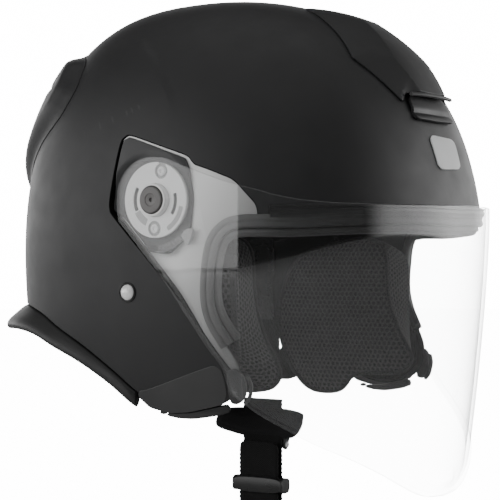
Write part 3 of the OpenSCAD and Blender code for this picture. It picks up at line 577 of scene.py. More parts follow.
# ---------------------------------------------------------------- shell
pole = azel(180.0, 55.0)
pocket = chaikin([[5.2, 13.6], [13.4, 22.0], [9.2, 60.4], [4.6, 63.4], [-33.6, 50.8], [-37.4, 46.0], [-45, 43.5], [-60, 37.5], [-74, 22],
                  [-74, -60], [-63.0, -67.5], [-58.6, -63.8], [-52.6, -55.4], [-41.8, -39.4], [-29.6, -22.8], [-9.8, -1.6]], 2, True, 0.12)
trim_out = [[-4, -76.5], [-10, -75.5], [-24, -70.5], [-36, -66], [-50, -61], [-54, -63.5], [-55.5, -70], [-56, -77], [-53.5, -82.5],
            [-44, -85], [-33, -87.5], [-22, -88.5], [-10, -86], [-3, -80]]


def star_grid(edge, k, rows, full=None):
    e = full_edge(edge, k) if full is None else full
    D = azel(e[:, 0], e[:, 1]); w = np.arccos(np.clip(D @ pole, -1, 1)); n = len(e)
    s = (np.arange(1, rows + 1) / rows)[:, None, None]
    G = (np.sin((1 - s) * w[None, :, None]) * pole + np.sin(s * w[None, :, None]) * D[None]) / np.sin(w)[None, :, None]
    D = unit(np.vstack([pole[None], G.reshape(-1, 3)]))
    j = np.arange(n); jn = (j + 1) % n
    F = [np.stack([0 * j, 1 + j, 1 + jn], 1)]
    for r in range(rows - 1):
        a, b = 1 + r * n + j, 1 + r * n + jn
        F += [np.stack([a, a + n, b + n], 1), np.stack([a, b + n, b], 1)]
    return D, np.vstack(F), n


def side_val(D, poly, grow=0.0):
    p = S(D); m = (np.abs(p[:, 0]) > 84) & (p[:, 2] < 78)
    v = np.full(len(D), 40.0); v[m] = sdist(p[m][:, 1:], poly) - grow
    return v


def flat(az_el):
    return np.stack([np.abs(az_el[0]) * 0.64, az_el[1]], -1) * 2.3


cr1 = flat(to_azel(dir_of(A([[-74.8, 29, 127], [-95.4, 4.6, 106], [-105.9, -13.4, 84.8], [-112, -22, 66]]))))
cr2 = flat(to_azel(dir_of(A([[-58.9, -61.4, 122], [-61, -85, 103.7], [-63.5, -105.4, 75.3], [-64, -112, 55]]))))


def crease(D):
    q = flat(to_azel(D))
    d, s, t = line_d(q, cr1)
    h = 1.0 * sstep(t / 0.25) * sstep((1 - t) / 0.7) * np.where(s < 0, np.exp(-(d / 26) ** 2), 1 - sstep(d / 4.5))
    d, s, t = line_d(q, cr2)
    h += 0.9 * sstep(t / 0.3) * sstep((1 - t) / 0.6) * np.where(s < 0, np.exp(-(d / 30) ** 2), 1 - sstep(d / 12))
    return h


def f_skin(D):
    return S(D, crease(D))


def f_floor(D):
    p = S(D); x = np.minimum(np.abs(p[:, 0]) - 1.0, POCKET_X)
    return np.stack([np.sign(p[:, 0]) * x, p[:, 1], p[:, 2]], -1)


def f_trimfloor(D):
    p = S(D)
    return np.stack([p[:, 0] - np.sign(p[:, 0]) * 3.4, p[:, 1], p[:, 2]], -1)


def d_normals(f, D, e=0.0012):
    t1 = unit(np.cross(D, [0.3, 0.2, 0.93])); t2 = np.cross(D, t1)
    n = unit(np.cross(f(unit(D + e * t1)) - f(unit(D - e * t1)), f(unit(D + e * t2)) - f(unit(D - e * t2))))
    return n * np.sign((n * D).sum(1))[:, None]


D, F, nring = star_grid(shell_edge, 9, 116)
D, Fo, Fp, new1 = cut(D, F, side_val(D, pocket, 0.4)); D = unit(D)
D, Fo, Ft, new2 = cut(D, Fo, side_val(D, trim_out)); D = unit(D)
geo, mid = [], []
E_all = rim(Fo)
Vs, Ns = f_skin(D), d_normals(f_skin, D)


def turn(F, V, N):
    return F if (np.cross(V[F[:, 1]] - V[F[:, 0]], V[F[:, 2]] - V[F[:, 0]]) * N[F[:, 0]]).sum() > 0 else F[:, ::-1]


Fo = turn(Fo, Vs, Ns); E_all = rim(Fo)
F1, V1, N1, _ = compact(Fo, Vs, Ns); geo.append((V1, F1, N1)); mid.append(0)
# material 2 on the pocket floor is the grey with the painted reflection
for new, fl, inner, mi in ((new1, f_floor, Fp, 2), (new2, f_trimfloor, Ft, 1)):
    is_new = np.zeros(len(D), bool); is_new[new] = True
    E = E_all[is_new[E_all[:, 0]] & is_new[E_all[:, 1]]]
    ids = np.unique(E)
    depth_to = fl(D[ids])

    def into(p, depth_to=depth_to):
        q = p.copy(); q[:, 0] = depth_to[:, 0]
        return q
    # the recess walls take material 1, near-black, as painted shade in the gap
    a, b, c, _, _ = skirt(Vs, Ns, E, 0.55, 0, 3, into)
    geo.append((a, b, c)); mid.append(1)
    Vf, Nf = fl(D), d_normals(fl, D)
    Ff, Vf, Nf, _ = compact(turn(inner, Vf, Nf), Vf, Nf)
    geo.append((Vf, Ff, Nf)); mid.append(mi)
# inner wall and rim
Di, Fi, ni = star_grid(shell_edge, 5, 40)


def f_in(D):
    p = S(D, -4.0); q = S(D)
    s = np.where((np.abs(q[:, 0]) > 88) & (q[:, 2] < 75),
                 np.maximum(np.clip((5 - sdist(q[:, 1:], pocket)) / 4, 0, 1) * np.maximum(1, np.abs(q[:, 0]) - POCKET_X),
                            3.4 * np.clip((3 - sdist(q[:, 1:], trim_out)) / 3, 0, 1)), 0)
    p[:, 0] -= np.sign(p[:, 0]) * s
    return p


Vi, Ni = f_in(Di), d_normals(f_in, Di)
geo.append((Vi, turn(Fi, Vi, Ni)[:, ::-1], -Ni)); mid.append(1)
E = rim(turn(Fi, Vi, Ni)); ids = np.unique(E)
Do = Di[ids]; po = S(Do); pin = f_in(Do)
mp = {int(v): k for k, v in enumerate(ids)}; m = len(ids)
q = np.vstack([po - unit(po - pin) * 0.2 * 0, pin]); nn = np.vstack([unit(S(Do, 5) - po)] * 2)
L = A([[mp[int(a)], mp[int(b)]] for a, b in E])
geo.append((q, np.vstack([np.stack([L[:, 0], L[:, 0] + m, L[:, 1] + m], 1), np.stack([L[:, 0], L[:, 1] + m, L[:, 1]], 1)]),
            np.vstack([unit(np.cross(np.roll(po, -1, 0) - np.roll(po, 1, 0), S(Do, 5) - po))] * 2))); mid.append(1)
V, F, N = join(*geo)
fid = np.concatenate([[k] * len(g[1]) for g, k in zip(geo, mid)])
o = make("shell_skin", V, F, N, mats=[M_shell, M_in_gap_shade, M_recess_painted_reflection], slot="shell_matte", fidx=fid)
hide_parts("outer_shell")

# ---------------------------------------------------------------- trims round the edges
def sunk_edge(e):
    Dd = azel(e[:, 0], e[:, 1]); p = S(Dd)
    m_ = (np.abs(p[:, 0]) > 88) & (p[:, 2] < 75)
    s = np.zeros(len(p)); pk = A([[13, 22], [6.5, 15.5], [-8, 0], [-28, -21.5], [-40, -38], [-51, -54], [-56, -62], [-62, -68], [-70, -60],
                                  [-72, 20], [-60, 36], [-45, 42], [-37, 45], [-33, 50.5], [4.5, 63], [9, 60]])
    s[m_] = np.maximum(np.clip((5 - sdist(p[m_][:, 1:], pk)) / 4, 0, 1) * np.maximum(1, np.abs(p[m_][:, 0]) - POCKET_X),
                       np.clip((3 - sdist(p[m_][:, 1:], trim_out)) / 3, 0, 1) * 3.4)
    p[:, 0] -= np.sign(p[:, 0]) * s
    return p


def edge_rings(e, sec, smooth=2):
    p = sunk_edge(e); n = len(p)
    for _ in range(3):
        p[1:-1] = (p[:-2] + 2 * p[1:-1] + p[2:]) / 4
    sec = chaikin(sec, smooth); R = []
    t = unit(p[np.minimum(np.arange(n) + 1, n - 1)] - p[np.maximum(np.arange(n) - 1, 0)])
    nn_ = unit(p - [0, CY, 0]); o_ = unit(nn_ - (nn_ * t).sum(1)[:, None] * t); u = np.cross(t, o_)
    return p[:, None, :] + o_[:, None, :] * sec[None, :, 0:1] + u[:, None, :] * sec[None, :, 1:2]


e9 = full_edge(shell_edge, 8); half = e9[:len(e9) // 2 + 1]
port = half[:int(8 * 10) + 1]; port = np.vstack([port[:0:-1] * [-1, 1], port])
V, F = strip(edge_rings(port, [[-4.6, 1.5], [-1.0, 3.6], [0.5, 3.9], [1.15, 3.2], [1.25, 1.2], [0.7, 0.6], [0.75, 0.1], [1.2, -0.4], [1.1, -2.6], [0.2, -3.4], [-4.2, -3.6], [-5, -2]], 1))
o = make("port_edging", V, F, mats=[M_port_painted_reflection], slot="trim_rubber", sharp=50)
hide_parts("eyeport_trim")
# inner lip of the port edging, with a groove between
V, F = strip(edge_rings(port, [[-6.6, -3.2], [-2.6, -3.2], [-1.7, -4.4], [-2.2, -6.0], [-3.2, -6.3], [-3.6, -7.2], [-5.4, -8.0], [-6.8, -6.6]], 1))
o = make("port_inner_lip", V, F, mats=[M_port_painted_reflection], slot="trim_rubber", sharp=50)

aa = np.linspace(-44, 44, 89)
bb = np.interp(np.abs(aa), [0, 20, 38, 44], [5.6, 6.1, 6.9, 7.5]); tt_ = np.interp(np.abs(aa), [0, 20, 38, 44], [7.5, 8, 9.6, 10.2])
w = 1 - (np.abs(aa) / 60) ** 2


def SA(a, e, off):
    return S(azel(a, e), off)


sec = [SA(aa, bb, 0.3), SA(aa, tt_, 0.3), SA(aa, tt_ - .05, 0.8), SA(aa, tt_ - .35, 0.9 + 1.5 * w), SA(aa, tt_ - .6, 0.9 + 1.6 * w),
       SA(aa, tt_ - .75, 0.9 + 0.6 * w), SA(aa, (bb + tt_) / 2 + .2, 0.9 + 0.6 * w), SA(aa, (bb + tt_) / 2, 0.9 + 1.5 * w),
       SA(aa, bb + .5, 0.9 + 1.5 * w), SA(aa, bb + .3, 0.9 + 0.8 * w), SA(aa, bb, 0.9 + 0.4 * w)]
V, F = strip(np.stack(sec, 1))
o = make("brow_gasket", V, F, mats=[M_rub], slot="trim_rubber", sharp=30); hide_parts("brow_seal")

r = half[half[:, 0] >= 79.5]; r = np.vstack([r, (r[::-1] * [-1, 1] + [360, 0])[1:]])
p = sunk_edge(r)
for _ in range(3):
    p[1:-1] = (p[:-2] + 2 * p[1:-1] + p[2:]) / 4
m_ = 180 - np.abs(180 - r[:, 0]); w = np.clip((m_ - 86) / 40, 0, 1) ** 1.3; w = w[:, None]
out = unit(np.stack([p[:, 0], p[:, 1] - CY, 0 * p[:, 0]], -1)); LIP = 13.0
sec = [(-5 + 0 * w, -.5 + 0 * w), (.4 + 0 * w, -.5 + 0 * w), (1.6 + .3 * LIP * w, -2.5 - 2 * w), (2 + (LIP - 2) * w, -7 - 4 * w),
       (.5 + (LIP - 3) * w, -10 - 6 * w), (-5 + 0 * w, -8 - 3 * w)]
R = np.stack([p + out * a + np.array([0, 0, 1.0]) * b for a, b in sec], 1)
R = np.stack([chaikin(q, 3) for q in R])
V, F = strip(R)
o = make("bottom_edging", V, F, mats=[M_rub], slot="trim_rubber", sharp=50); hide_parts("bottom_trim")


def xpoint(base):
    """side view point (y, z) to the right side, base(y, z) + off out from the centre plane"""
    return lambda q, off=0.0: np.stack([-(base(q[:, 0], q[:, 1]) + off), q[:, 0], q[:, 1]], -1)


xref = lambda n: A([-1.0, 0, 0])
g = patch(chaikin(trim_out, 2, True, .12), xpoint(lambda y, z: sx(y, z) + 0.2), 2.6, bevel=0.5, step=1.2, ref=A([[-1.0, 0, 0]]))
chin = chaikin([[-9, -85.6], [-22, -88.2], [-34, -87.2], [-45, -84.8], [-54.5, -82.6], [-56, -86.6], [-47, -89.2], [-35, -91.2], [-24, -91], [-13, -88.4]], 2, True, .15)
for nm, gg in (("right", g), ("left", mirrored(g))):
    o = make("side_trim_panel_" + nm, *gg, mats=[M_trim], slot="trim_plastic"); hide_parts("side_trim_" + nm)
g = patch(chin, xpoint(lambda y, z: sx(y, np.maximum(z, -87)) - 1.6), 2.5, bevel=0.8, step=1.0, ref=A([[-1.0, 0, 0]]))
for nm, gg in (("right", g), ("left", mirrored(g))):
    make("lower_band_" + nm, *gg, mats=[M_rub], slot="trim_rubber")
end_out = chaikin([[-57.6, -64.5], [-62, -62.6], [-66, -65.6], [-67.8, -72], [-66.4, -79], [-62, -82.4], [-58, -81.4]], 2, True, .2)
g = patch(end_out, xpoint(lambda y, z: sx(y, z) + 2.6), 2.4, bevel=0.5, step=0.8, ref=A([[-1.0, 0, 0]]))
g2 = patch(chaikin([[-66.4, -65], [-69, -67], [-70.6, -72], [-69, -79.5], [-65.5, -83], [-64.5, -82.2], [-67.4, -78], [-68.6, -72], [-67.4, -67.8]], 2, True, .2),
           xpoint(lambda y, z: sx(y, z) + 2.0), 2.0, bevel=0.35, step=0.6, ref=A([[-1.0, 0, 0]]))
for nm, gg, g3 in (("right", g, g2), ("left", mirrored(g), mirrored(g2))):
    o = make("trim_end_" + nm, *gg, mats=[M_trim], slot="trim_plastic"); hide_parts("side_trim_end_" + nm)
    make("trim_end_strip_" + nm, *g3, mats=[M_port_painted_reflection], slot="trim_plastic")

# ---------------------------------------------------------------- hinge: cover, base plate, pawl, cap, screws
cover = chaikin([[5.0, 15.4], [12.2, 22.4], [8.2, 59.9], [4.2, 62.2], [-32.8, 49.8], [-36.4, 43.6], [-39, 28], [-37, 10], [-26, -2], [-10, 0]], 2, True, .1)


def cover_x(y, z):
    rr = np.hypot(y - PIV[0], z - PIV[1]); t = sstep((rr - 24.5) / 6.0)
    return (1 - t) * np.minimum(sx(y, z) + .9, 115.9) + t * (sx(y, z) - 0.35)


g = patch(cover, xpoint(cover_x), 1.2, bevel=0.45, step=0.9, ref=A([[-1.0, 0, 0]]))
for nm, gg in (("right", g), ("left", mirrored(g))):
    o = make("side_cover_panel_" + nm, *gg, mats=[M_cover], slot="cover_plastic"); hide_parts("side_cover_" + nm)
PX0, PX1 = 116.2, 118.9


def ring_pts(r, a0, a1, n=24):
    t = np.radians(np.linspace(a0, a1, n))
    return np.stack([PIV[0] - r * np.cos(t), PIV[1] + r * np.sin(t)], -1)


def arc_slot(r, w, a0, a1):
    return np.vstack([ring_pts(r + w, a0, a1), ring_pts(r - w, a1, a0)])


screws = [(PIV[0] - 4, 42.5), (PIV[0] + .5, 11.5)]
slots = [arc_slot(13.4, 1.1, 150, 205), arc_slot(13.4, 1.0, -35, 15)]
disc = np.vstack([ring_pts(20.5, 0, 360, 97)[:-1]])


def plate_val(q):
    if q is None:
        return disc
    v = np.hypot(q[:, 0] - PIV[0], q[:, 1] - PIV[1]) - 20.5
    for s_ in slots:
        v = np.maximum(v, -sdist(q, s_))
    for (y, z) in screws:
        v = np.maximum(v, -(np.hypot(q[:, 0] - y, q[:, 1] - z) - 4.1))
    return np.maximum(v, -(np.hypot(q[:, 0] - PIV[0], q[:, 1] - PIV[1]) - 9.2))


top = patch(None, lambda q, off=0.0: np.stack([-(PX1 - .15 + off + 0 * q[:, 0]), q[:, 0], q[:, 1]], -1), 1.0, bevel=0.25, step=0.55, val=plate_val, ref=A([[-1.0, 0, 0]]))
under = patch(disc * 1.0, lambda q, off=0.0: np.stack([-(PX1 - 1.3 + off + 0 * q[:, 0]), q[:, 0], q[:, 1]], -1), 1.3, bevel=0.2, step=1.2, ref=A([[-1.0, 0, 0]]))
hub = revolve([[0.01, PX0], [9.1, PX0], [9.1, 119.6], [8.8, 121.9], [8.5, 122.15], [7.75, 122.15], [7.6, 121.9], [7.6, 120.4], [0.01, 120.4]], *PIV)
hubl = flip(hub)
notch = arc_slot(17.6, 1.3, -62, -12); notch2 = arc_slot(13.3, 2.0, 208, 245)
n1 = patch(notch, lambda q, off=0.0: np.stack([-(PX1 + off + 0 * q[:, 0]), q[:, 0], q[:, 1]], -1), 0.4, bevel=0.15, step=0.5, ref=A([[-1.0, 0, 0]]))
n2 = patch(notch2, lambda q, off=0.0: np.stack([-(PX1 + off + 0 * q[:, 0]), q[:, 0], q[:, 1]], -1), 0.4, bevel=0.15, step=0.5, ref=A([[-1.0, 0, 0]]))
pawl = patch(chaikin([[-36.5, 11.5], [-33, 8.2], [-35.2, 3.6], [-37.4, 2.6], [-39.6, 6.8], [-40.6, 11.4]], 2, True, .15),
             lambda q, off=0.0: np.stack([-(PX1 - .4 + off + 0 * q[:, 0]), q[:, 0], q[:, 1]], -1), 1.8, bevel=0.3, step=0.5, ref=A([[-1.0, 0, 0]]))
cap = revolve([[0.01, 121.7], [0.9, 121.7], [1.0, 122.5], [1.25, 122.75], [3.2, 123.0], [3.6, 123.35], [6.6, 123.3], [7.0, 123.1], [7.2, 122.6], [7.2, 121.0], [0.01, 121.0]], *PIV)
sg = []
for (y, z) in screws:
    sg.append(revolve([[0.01, PX1 - .75], [.8, PX1 - .75], [1.0, PX1 - .1], [1.6, PX1 + .15], [2.3, PX1 - .05], [2.6, PX1 - .5], [2.6, PX1 - 1.3], [.01, PX1 - 1.3]], y, z, 40))
sgm = merge(*sg)
# a dark ring in the gap round the cap and dark floors in the arc slots are painted shade where these gaps lie in shadow
cap_gap_shade = revolve([[7.15, 121.4], [7.3, 122.2], [7.75, 122.2], [7.75, 121.4]], *PIV)
slot_shade_floor = join(*[patch(s_, lambda q, off=0.0: np.stack([-(PX1 - .5 + off + 0 * q[:, 0]), q[:, 0], q[:, 1]], -1), 0.5, bevel=0.05, step=0.5, ref=A([[-1.0, 0, 0]])) for s_ in slots])
for nm, f_ in (("right", lambda g: g), ("left", mirrored)):
    fl = (lambda g: g) if nm == "right" else flip
    o = make("hinge_plate_" + nm, *f_(top), mats=[M_light], slot="plate_grey")
    o2 = make("hinge_plate_floor_" + nm, *f_(under), mats=[M_mid], slot="plate_grey")
    o3 = make("hinge_hub_" + nm, *fl(hub), mats=[M_light], slot="plate_grey", sharp=28)
    o4 = make("hinge_step_" + nm, *f_(join(n1, n2)), mats=[M_mid], slot="plate_grey")
    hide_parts("visor_base_plate_" + nm)
    make("painted_slot_shade_" + nm, *f_(slot_shade_floor), mats=[M_slot_shade], slot="plate_grey")
    make("painted_cap_gap_shade_" + nm, *fl(cap_gap_shade), mats=[M_slot_shade], slot="plate_grey", sharp=30)
    o = make("detent_finger_" + nm, *f_(pawl), mats=[M_mid], slot="plate_grey"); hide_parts("detent_pawl_" + nm)
    o = make("hinge_cap_" + nm, *fl(cap), mats=[M_cap], slot="cap_grey", sharp=25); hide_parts("pivot_cap_" + nm)
    o = make("plate_screws_" + nm, *fl(sgm), mats=[M_white], slot="screw_steel", sharp=30)
    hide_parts("base_plate_screws")

# ---------------------------------------------------------------- visor
BEND = -68.0
top_f = [[0, 25], [0.2, 24.6], [0.4, 24.5], [0.6, 25], [0.75, 26.5], [0.85, 29], [0.93, 32], [1, 34.4]]
bot_f = [[0, -138], [0.12, -137], [0.2, -134.5], [0.3, -129], [0.42, -121], [0.57, -111.5], [0.7, -104], [0.84, -94.5], [0.95, -86], [1, -80.5]]
top_w = [[-68, 34.4], [-60.8, 36.2], [-46.4, 41.2], [-38, 44.3], [-31, 47], [-22, 50], [-14.7, 50.6], [-6, 48.8], [-1, 46], [3, 42], [6, 37.5], [7.6, 32], [7.9, 27]]
bot_w = [[-68, -80.5], [-64.8, -78.5], [-62, -77], [-60.5, -74], [-59.5, -71], [-58, -64.4], [-55, -59], [-50.7, -54], [-39.8, -38], [-27.6, -21.4],
         [-18.6, -10.7], [-8, 0], [3.5, 10.5], [6, 14.5], [7.6, 20], [7.9, 27]]


def wing(y, z):
    return 121.5 - 0.16 * np.maximum(-37 - y, 0) - 0.0007 * np.maximum(4 - z, 0) ** 2


def reach(z):
    return 168.8 - 13 * (np.maximum(15 - z, 0) / 140) ** 1.3


def vis(s, z, off):
    """s 0 at the front centre, 1 at the bend, 2 at the rear of the wing"""
    u = np.minimum(s, 1.0); f = reach(z); k = (CY - BEND) / f; wb = wing(BEND, z)
    W = wb / (1 - k ** 2.2) ** (1 / 2.2); am = np.arctan2(wb, CY - BEND); a = u * am
    r_ = ((np.sin(a) / W) ** 2.2 + (np.cos(a) / f) ** 2.2) ** (-1 / 2.2) + off
    fr = np.stack([-r_ * np.sin(a), CY - r_ * np.cos(a), z], -1)
    y = BEND + (s - 1) * 75.9
    si = np.stack([-(wing(y, z) + off), y, z], -1)
    return np.where((s > 1)[..., None], si, fr)


sv = np.concatenate([np.linspace(0, 1, 101), 1 + np.linspace(0, 1, 90)[1:] ** 1.0])
th = np.linspace(0, math.pi / 2, 40)
ycol = np.concatenate([np.linspace(-68, -1, 60)[1:], -1 + 8.9 * np.sin(th)[1:]])
sv = np.concatenate([np.linspace(0, 1, 101), 1 + (ycol + 68) / 75.9])
zt = np.where(sv <= 1, pchip(top_f, sv), pchip(top_w, BEND + (sv - 1) * 75.9))
zb = np.where(sv <= 1, pchip(bot_f, sv), pchip(bot_w, BEND + (sv - 1) * 75.9))
zt[-1] = zb[-1] + 0.02
h = zt - zb
dl = np.minimum(h * .3, 1.0)                       # room for the edge details
dd = [0.0, 0.35, 1.6, 2.3, 3.0]
vv = np.linspace(0, 1, 60)[1:-1]
lipo = [0.9, 1.25, 1.2, 0.8, 0.0]
tab = np.exp(-(sv * 165 / 13.0) ** 4) * (sv < .4)
cols = []
T_ = 2.2
fade = np.where(sv > 1, np.clip(1 - (sv - 1) / 0.10, 0, 1), 1.0)
zz, oo = [], []
for d_, l_ in zip(dd, lipo):
    zz.append(zb + d_ * dl); oo.append(l_ * fade)
for v_ in vv:
    zz.append(zb + 3.0 * dl + (h - 3.0 * dl - 1.0 * dl) * v_); dist_b = zz[-1] - zb
    oo.append(tab * 2.6 * np.exp(-((dist_b - 9) / 3.2) ** 4))
for d_ in (1.0, 0.5, 0.2, 0.0):
    zz.append(zt - d_ * dl); oo.append(0 * sv - (0.0 if d_ > .3 else 0.25 if d_ > .1 else 0.6))
no = len(zz)
inner_z = [zt + 0 * sv, zt - .5 * dl] + [zb + 2.0 * dl + (h - 4.0 * dl) * v_ for v_ in np.linspace(1, 0, 30)] + [zb + .3 * dl, zb]
inner_o = [-T_ + .5] + [-T_] * 31 + [-T_ + .05, -T_ + .4]
for z_, o_ in zip(inner_z, inner_o):
    zz.append(z_); oo.append(0 * sv + o_)
R = np.stack([vis(sv, z_, o_) for z_, o_ in zip(zz, oo)], 1)      # column, ring point
full = np.concatenate([R[::-1], (R * [-1, 1, 1])[1:]], 0)
V, F = strip(full)
o = make("visor_clear", V, F, mats=[M_visor], sharp=32, body="visor", slot="visor_clear"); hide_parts("visor")
# ratchet teeth moulded on the inside of the wing
tg = []
for a in np.radians(np.linspace(-83, -42, 9)):
    c_, s_ = math.cos(a), math.sin(a); rr = [(25.0, -.022), (27.6, -.03), (27.6, .03), (25.0, .022), (24.2, 0.0)]
    pts = [(PIV[0] - r_ * math.cos(a + e_), PIV[1] + r_ * math.sin(a + e_)) for r_, e_ in rr]
    ring0 = [[-119.35, y, z] for y, z in pts]; ring1 = [[-118.3, y, z] for y, z in pts]
    tg.append(strip([ring0, ring1]))
arc = [[[-(119.3 + dx), PIV[0] - (28.2 + dr) * math.cos(a), PIV[1] + (28.2 + dr) * math.sin(a)] for dx, dr in ((0, -.5), (0, .5), (-.9, .35), (-.9, -.35))]
       for a in np.radians(np.linspace(-88, -36, 30))]
tg.append(strip(arc))
T3 = merge(*tg)
for nm, g_ in (("right", T3), ("left", flip(T3))):
    make("visor_teeth_" + nm, *g_, mats=[M_visor], sharp=25, body="visor", slot="visor_clear")

# ---------------------------------------------------------------- top vent
hood = A([[-12, 58], [0, 60.5], [12, 58], [15.5, 50], [18.5, 38], [14.5, 33], [11.5, 29.2], [10.2, 27.5], [9.6, 28.2], [8.9, 29.2], [5, 28.95], [0, 28.8], [-5, 28.95],
          [-8.9, 29.2], [-9.6, 28.2], [-10.2, 27.5], [-11.5, 29.2], [-14.5, 33], [-18.5, 38], [-15.5, 50]])
HS = A([1.72, 2.3])
mk = to_azel(dir_of(A([[-7.5, -78.3, 126.6], [-20.3, -103.4, 103.7], [-14.7, -116.2, 86.7]])))
plat = A([[mk[0][0], mk[1][0]], [mk[0][1], mk[1][1]], [mk[0][2], mk[1][2]]])
plat = np.vstack([plat, plat[::-1] * [-1, 1]]) if plat[0, 0] > 0 else np.vstack([plat * [-1, 1], plat[::-1]])
plat = np.vstack([plat[:2], [[plat[2, 0], 28.9]], [[-plat[2, 0], 28.9]], plat[4:]])
open_front = A([[-9.6, 28.6], [-8.9, 29.0], [0, 28.8], [8.9, 29.0], [9.6, 28.6]])


def hood_h(q):
    so = -sdist(q * HS, hood * HS); si = np.maximum(sdist(q * HS, plat * HS), 0)
    # the open front edge does not pull the height down
    closed = np.vstack([hood[:9], hood[14:]]) * HS
    n_ = len(closed); d_out = np.full(len(q), 1e9)
    for i in range(n_):
        a, b = closed[i], closed[(i + 1) % n_]
        if abs(a[0]) < 17 and abs(b[0]) < 17 and a[1] < 70 and b[1] < 70:
            continue
        ab = b - a; w_ = q * HS - a; t = np.clip((w_ @ ab) / (ab @ ab), 0, 1)
        d_out = np.minimum(d_out, np.linalg.norm(w_ - t[:, None] * ab, axis=1))
    return 0.9 + 6.0 * np.clip(d_out / np.maximum(d_out + si, 1e-6), 0, 1)


g = patch(hood, lambda q, off=0.0: SA(q[:, 0], q[:, 1], off), 1.6, bevel=0.5, step=1.0, scale=HS, height=hood_h)
o = make("top_vent_hood", *g, mats=[M_shell], slot="shell_matte"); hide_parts("top_vent_housing")
sl = chaikin([[-8.5, 24.2], [-8.2, 28.6], [-5, 30.2], [5, 30.2], [8.2, 28.6], [8.5, 24.2], [0, 24]], 2, True, .1)
g = patch(sl, lambda q, off=0.0: SA(q[:, 0], q[:, 1], off), 1.6, bevel=0.45, step=0.8, scale=HS,
          height=lambda q: 2.5 - 1.1 * np.exp(-((q[:, 1] - 25.6) / 0.5) ** 2))
o = make("top_vent_plate", *g, mats=[M_shell], slot="shell_matte", body="vent_slider"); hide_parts("top_vent_slider")
fr = []
for e_, oo_ in ((29.0, 5.2), (29.0, 6.9), (28.75, 7.25), (28.35, 7.0), (28.5, 5.2)):
    fr.append(SA(np.linspace(-9.0, 9.0, 41), e_ - 0.012 * np.linspace(-9.0, 9.0, 41) ** 2 * 0.2, oo_ - 0.4))
V, F = strip(np.stack(fr, 1))
make("top_vent_lip", V, F, mats=[M_trim], slot="trim_plastic", sharp=40)

# ---------------------------------------------------------------- rear vent
rv = chaikin([[100, 47], [103, 55], [118, 62], [145, 67], [180, 69], [215, 67], [242, 62], [257, 55], [260, 47], [255, 40], [235, 35], [205, 32.5],
              [180, 32], [155, 32.5], [125, 35], [105, 40]], 2, True, .18)
RS = A([1.25, 2.0])


def rv_h(q):
    d = -sdist(q * RS, rv * RS)
    rise = sstep(d / 9.0)
    slot = np.exp(-((q[:, 1] - (55 - 0.0012 * (q[:, 0] - 180) ** 2)) / 0.9) ** 4) * sstep((70 - np.abs(q[:, 0] - 180)) / 6)
    slot2 = np.exp(-((q[:, 1] - (43 - 0.0004 * (q[:, 0] - 180) ** 2)) / 0.7) ** 4) * sstep((58 - np.abs(q[:, 0] - 180)) / 6)
    return 0.5 + 7.4 * rise - 3.2 * slot - 1.6 * slot2


g = patch(rv, lambda q, off=0.0: SA(q[:, 0], q[:, 1], off), 1.5, bevel=0.4, step=1.25, scale=RS, height=rv_h)
o = make("rear_vent_cover", *g, mats=[M_shell], slot="shell_matte"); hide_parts("rear_vent")

# ---------------------------------------------------------------- badge and rivets
bd = chaikin([[-5.5, 15], [-6, 21], [5, 21.5], [4.5, 14.6]], 2, True, .12)
g = patch(bd, lambda q, off=0.0: SA(q[:, 0], q[:, 1], off), 0.7, bevel=0.25, step=0.7, scale=[2.2, 2.3], height=lambda q: 0.9 + 0 * q[:, 0])
o = make("brow_plate", *g, mats=[M_badge], slot="badge_grey"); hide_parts("brow_badge")
RX = float(sx(0, -23))
rr_ = [[.01, RX + 2.5], [1.0, RX + 2.42], [2.1, RX + 2.15], [3.1, RX + 1.6], [3.9, RX + .8], [4.25, RX + .2], [4.3, RX - .2], [2.3, RX - .4], [2.3, RX - 9], [4.2, RX - 9.2], [4.2, RX - 11], [.01, RX - 11.2]]
rl_ = [[4.3, RX + .15], [5.0, RX + .45], [5.5, RX + .15], [5.6, RX - .4], [4.3, RX - .4]]
V, F = merge(revolve(rr_, 0, -23, 64), revolve(rr_, 0, -23, 64, False))
o = make("strap_rivet_domes", V, F, mats=[M_chrome], slot="rivet_chrome", sharp=45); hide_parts("strap_rivets")
V, F = merge(revolve(rl_, 0, -23, 64), revolve(rl_, 0, -23, 64, False))
make("strap_rivet_washers", V, F, mats=[M_gloss], slot="rivet_chrome", sharp=45)

# ---------------------------------------------------------------- padding
pad_in = A([[-52, 10], [-52.5, -27], [-60, -49], [-70, -64], [-70, -71], [-62, -77.5], [-28, -78], [-22, -88], [-14, -91.5], [4, -91], [16, -80], [27, -60], [28, -34], [16, -4], [-10, 4]], float)
pad_out = A([[-55, 3], [-56, -27], [-57, -48], [-58, -58], [-55, -62], [-45, -63], [-30, -63], [-24, -66], [-15, -68], [0, -66], [9, -58], [15, -46], [15, -24], [10, -2], [-10, 0]], float)


def resample(p, n):
    p = np.vstack([p, p[:1]]); d = np.concatenate([[0], np.cumsum(np.linalg.norm(np.diff(p, axis=0), axis=1))])
    t = np.linspace(0, d[-1], n, endpoint=False)
    return np.stack([np.interp(t, d, p[:, k]) for k in range(p.shape[1])], -1)


def match(a, b, n=180, it=3):
    """both outlines share their corners, so they are rounded the same way and then sampled evenly along their joint
    length
    """
    both = chaikin(np.hstack([a, b]), it, True, .25)
    return resample(both[:, :4], n)


io = match(pad_in, pad_out)
ci = A([-28.0, -34.0])
rng = np.random.default_rng(4)


